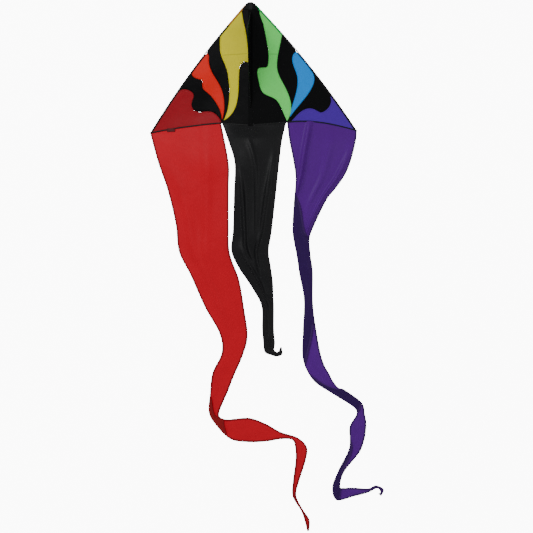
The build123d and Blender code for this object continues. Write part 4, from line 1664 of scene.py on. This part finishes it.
    def apex_patch(self) -> None:
        """A round reinforcement on each side of the keel, under the eyelet's flanges."""
        for side in Side:
            mesh = bmesh.new()
            layer = mesh.loops.layers.uv.new("cloth")
            inner = bmesh.ops.create_circle(mesh, cap_ends=False, segments=48, radius=0.0052)
            ring = [edge for vertex in inner["verts"] for edge in vertex.link_edges]
            grown = bmesh.ops.extrude_edge_only(mesh, edges=list(dict.fromkeys(ring)))
            for vertex in (item for item in grown["geom"] if isinstance(item, bmesh.types.BMVert)):
                vertex.co = vertex.co.normalized() * 0.0125
            for vertex in mesh.verts:
                vertex.co = Vector((side.value * 0.00095, vertex.co.x, vertex.co.y))
            for face in mesh.faces:
                for loop in face.loops:
                    loop[layer].uv = (0.0125 - loop.vert.co.yz.length, 0.0)
            piece = self.bench.finish_mesh(f"keel_apex_{side.word}", mesh, 0.0003, "black_tape")
            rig.ride(piece, "keel")
            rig.sheet(piece, flat=(0.025, 0.025), held="stretched", rests_on=["keel_panel"], area=0.0004)


def repaint_hardware(wardrobe: Wardrobe) -> None:
    """Give the carried-over hard pieces their finishes."""
    finishes = {
        "spine_rod": "glass_fibre", "spine_cap_top": "vinyl", "spine_cap_bottom": "vinyl",
        "tow_eyelet": "nickel", "tow_eyelet_washer": "nickel",
    }
    for side in Side:
        word = side.word
        finishes |= {
            f"{word}_spar": "glass_fibre", f"{word}_spar_caps": "vinyl", f"{word}_spreader_fitting": "vinyl",
            f"{word}_stop_rings": "vinyl", f"{word}_spreader_rod": "glass_fibre",
        }
    for node, finish in finishes.items():
        wardrobe.repaint(node, finish)


# ---------------------------------------------------------------- studio


class Studio:
    """A pale sweep, soft lights and the camera."""

    FLOOR_Z = -4.86
    TARGET = Vector((0.154, 0.29, -2.2))
    WHITE = 10.0
    SKY = 0.42
    CORNER = 1.6
    WALL_Y = 4.4
    WALL_TOP = 7.0
    TURN = math.radians(5)
    DISTANCE = 10.0
    LENS = 71
    SENSOR = 36

    def sweep(self) -> None:
        """A floor that curves up into a wall behind."""
        mesh = bmesh.new()
        made = bmesh.ops.create_grid(mesh, x_segments=2, y_segments=40, size=0.5)
        corner, wall_y, top = self.CORNER, self.WALL_Y, self.WALL_TOP
        for vertex in made["verts"]:
            share = vertex.co.y + 0.5
            x = vertex.co.x * 40
            if share < 0.35:
                place = (x, -14 + (wall_y - corner + 14) * share / 0.35, self.FLOOR_Z)
            elif share < 0.85:
                angle = (share - 0.35) / 0.5 * math.pi / 2
                z = self.FLOOR_Z + corner * (1 - math.cos(angle))
                place = (x, wall_y - corner + corner * math.sin(angle), z)
            else:
                place = (x, wall_y, self.FLOOR_Z + corner + (top - corner) * (share - 0.85) / 0.15)
            vertex.co = place
        bmesh.ops.recalc_face_normals(mesh, faces=mesh.faces)
        if sum(face.normal.z for face in mesh.faces) < 0:
            bmesh.ops.reverse_faces(mesh, faces=mesh.faces)
        for face in mesh.faces:
            face.smooth = True
        data = bpy.data.meshes.new("sweep")
        mesh.to_mesh(data)
        mesh.free()
        sweep = put_in_scene("sweep", data)
        paper, bench, shader = fresh_material("paper")
        shader.inputs["Base Color"].default_value = (0.9, 0.9, 0.9, 1)
        shader.inputs["Roughness"].default_value = 0.9
        shader.inputs["Specular IOR Level"].default_value = 0.1
        shader.inputs["Emission Color"].default_value = (1, 1, 1, 1)
        seen = bench.add("ShaderNodeLightPath").outputs["Is Camera Ray"]
        behind = bench.add("ShaderNodeNewGeometry").outputs["Backfacing"]
        bench.join(bench.math("MULTIPLY", seen, self.WHITE), shader.inputs["Emission Strength"])
        bench.join(bench.math("SUBTRACT", 1.0, behind), shader.inputs["Alpha"])
        data.materials.append(paper)
        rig.stage(sweep)

    def lamp(self, name: str, place: Point, aim: Point, size: float, watts: float) -> None:
        """A square soft light."""
        data = bpy.data.lights.new(name, "AREA")
        data.size = size
        data.energy = watts
        lamp = put_in_scene(name, data)
        lamp.location = place
        lamp.rotation_euler = (Vector(aim) - Vector(place)).to_track_quat("-Z", "Y").to_euler()

    def build(self) -> None:
        """Set the stage."""
        self.sweep()
        self.lamp("key", (-5.0, -7.0, 4.0), (0, 0.3, -1.8), 4.0, 440)
        self.lamp("fill", (5.5, -6.5, -1.0), (0, 0.3, -2.2), 5.0, 110)
        world = bpy.data.worlds.new("pale")
        world.use_nodes = True
        world.node_tree.nodes["Background"].inputs["Color"].default_value = (1, 1, 1, 1)
        bench = NodeBench(world.node_tree)
        seen = bench.add("ShaderNodeLightPath").outputs["Is Camera Ray"]
        strength = bench.math("MULTIPLY_ADD", seen, self.WHITE - self.SKY, self.SKY)
        bench.join(strength, world.node_tree.nodes["Background"].inputs["Strength"])
        bpy.context.scene.world = world
        data = bpy.data.cameras.new("view")
        data.sensor_width = self.SENSOR
        data.lens = self.LENS
        camera = put_in_scene("view", data)
        away = Vector((math.sin(self.TURN), -math.cos(self.TURN), 0))
        camera.location = self.TARGET + away * self.DISTANCE
        camera.rotation_euler = (math.radians(90), 0, self.TURN)
        bpy.context.scene.camera = camera


def build_kite(bench: Bench) -> None:
    """Make every piece of the kite."""
    left = WingMaker(bench, Side.LEFT, {
        "yellow_panel": "yellow_cloth", "orange_panel": "orange_cloth", "dark_red_panel": "dark_red_cloth",
    })
    right = WingMaker(bench, Side.RIGHT, {
        "green_panel": "green_cloth", "blue_panel": "blue_cloth", "indigo_panel": "indigo_cloth",
    })
    for wing in (left, right):
        wing.build()
    left.cloth("blank_label", "label_tape", -0.0028)
    fitting = PLAN.distance_at_z(PLAN.spreader_z)
    opening = (fitting - PLAN.opening / 2, fitting + PLAN.opening / 2)
    first, last = PLAN.pocket_end, PLAN.edge_length - PLAN.pocket_end
    amber, green, navy = (PLAN.distance_at_z(z) for z in PLAN.colour_ends)
    left.pocket("left_pocket_amber", first, amber, "amber_tape")
    left.pocket("left_pocket_upper", amber, opening[0], "black_tape")
    left.pocket("left_pocket_lower", opening[1], last, "black_tape")
    right.pocket("right_pocket_green", first, green, "green_tape")
    right.pocket("right_pocket_upper", green, opening[0], "black_tape")
    right.pocket("right_pocket_navy", opening[1], navy, "navy_tape")
    right.pocket("right_pocket_lower", navy, last, "black_tape")

    red_top, purple_top = outer_top(left), outer_top(right)
    red = TailPlan("red_tail", (top_rib(red_top), *RED_RIBS), top=red_top, flaps=(
        Flap(9.8, 12.0, 12.1, 12.9, 0.97, lift=0.014),
    ), folds=(Fold((0.6, 0.72), (4.6, 0.50), -0.016, 0.08), Fold((2.0, 0.22), (6.5, 0.42), -0.014, 0.08)))
    build_outer_tail(bench, red, Side.LEFT, "red", (0.35, 4.0, 8.0, 11.0))
    purple = TailPlan("purple_tail", (top_rib(purple_top), *PURPLE_RIBS), top=purple_top, flaps=(
        Flap(3.6, 6.0, 9.6, 11.4, 0.95), Flap(11.5, 12.9, 14.0, 15.0, 0.9), Flap(16.4, 18.4, 19.6, 20.3, 0.97),
    ), folds=(Fold((0.1, 0.33), (3.7, 0.04), -0.045, 0.035), Fold((1.6, 0.92), (5.6, 0.72), -0.030, 0.045),
              Fold((1.0, 0.62), (4.0, 0.50), -0.016, 0.07)))
    build_outer_tail(bench, purple, Side.RIGHT, "purple", (0.35, 5.0, 10.0, 14.0))
    build_black_tail(bench, centre_top(left, right))

    centre = CentreMaker(bench)
    strip_low, strip_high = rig.box("centre_strip")
    centre.upright_strip("centre_strip", 0.0218, strip_low.z, strip_high.z, 0.2884, "black_cloth")
    patch_low, patch_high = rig.box("nose_patch")
    centre.upright_strip("nose_patch", 0.019, patch_low.z, patch_high.z, 0.2874, "black_tape")
    centre.spine_pocket()
    centre.spreader_sleeve()
    centre.keel()


def main() -> None:
    """Build the scene."""
    logging.basicConfig(level=logging.INFO, format="%(message)s")
    Studio().build()
    wardrobe = Wardrobe()
    build_kite(Bench(wardrobe))
    repaint_hardware(wardrobe)
    sizes = {"cad": [list(corner) for corner in CAD_BOX], "visual": [list(corner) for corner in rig.bounds()]}
    with open("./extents.json", "w", encoding="utf-8") as file:
        json.dump(sizes, file, indent=1)


if __name__ == "__main__":
    main()
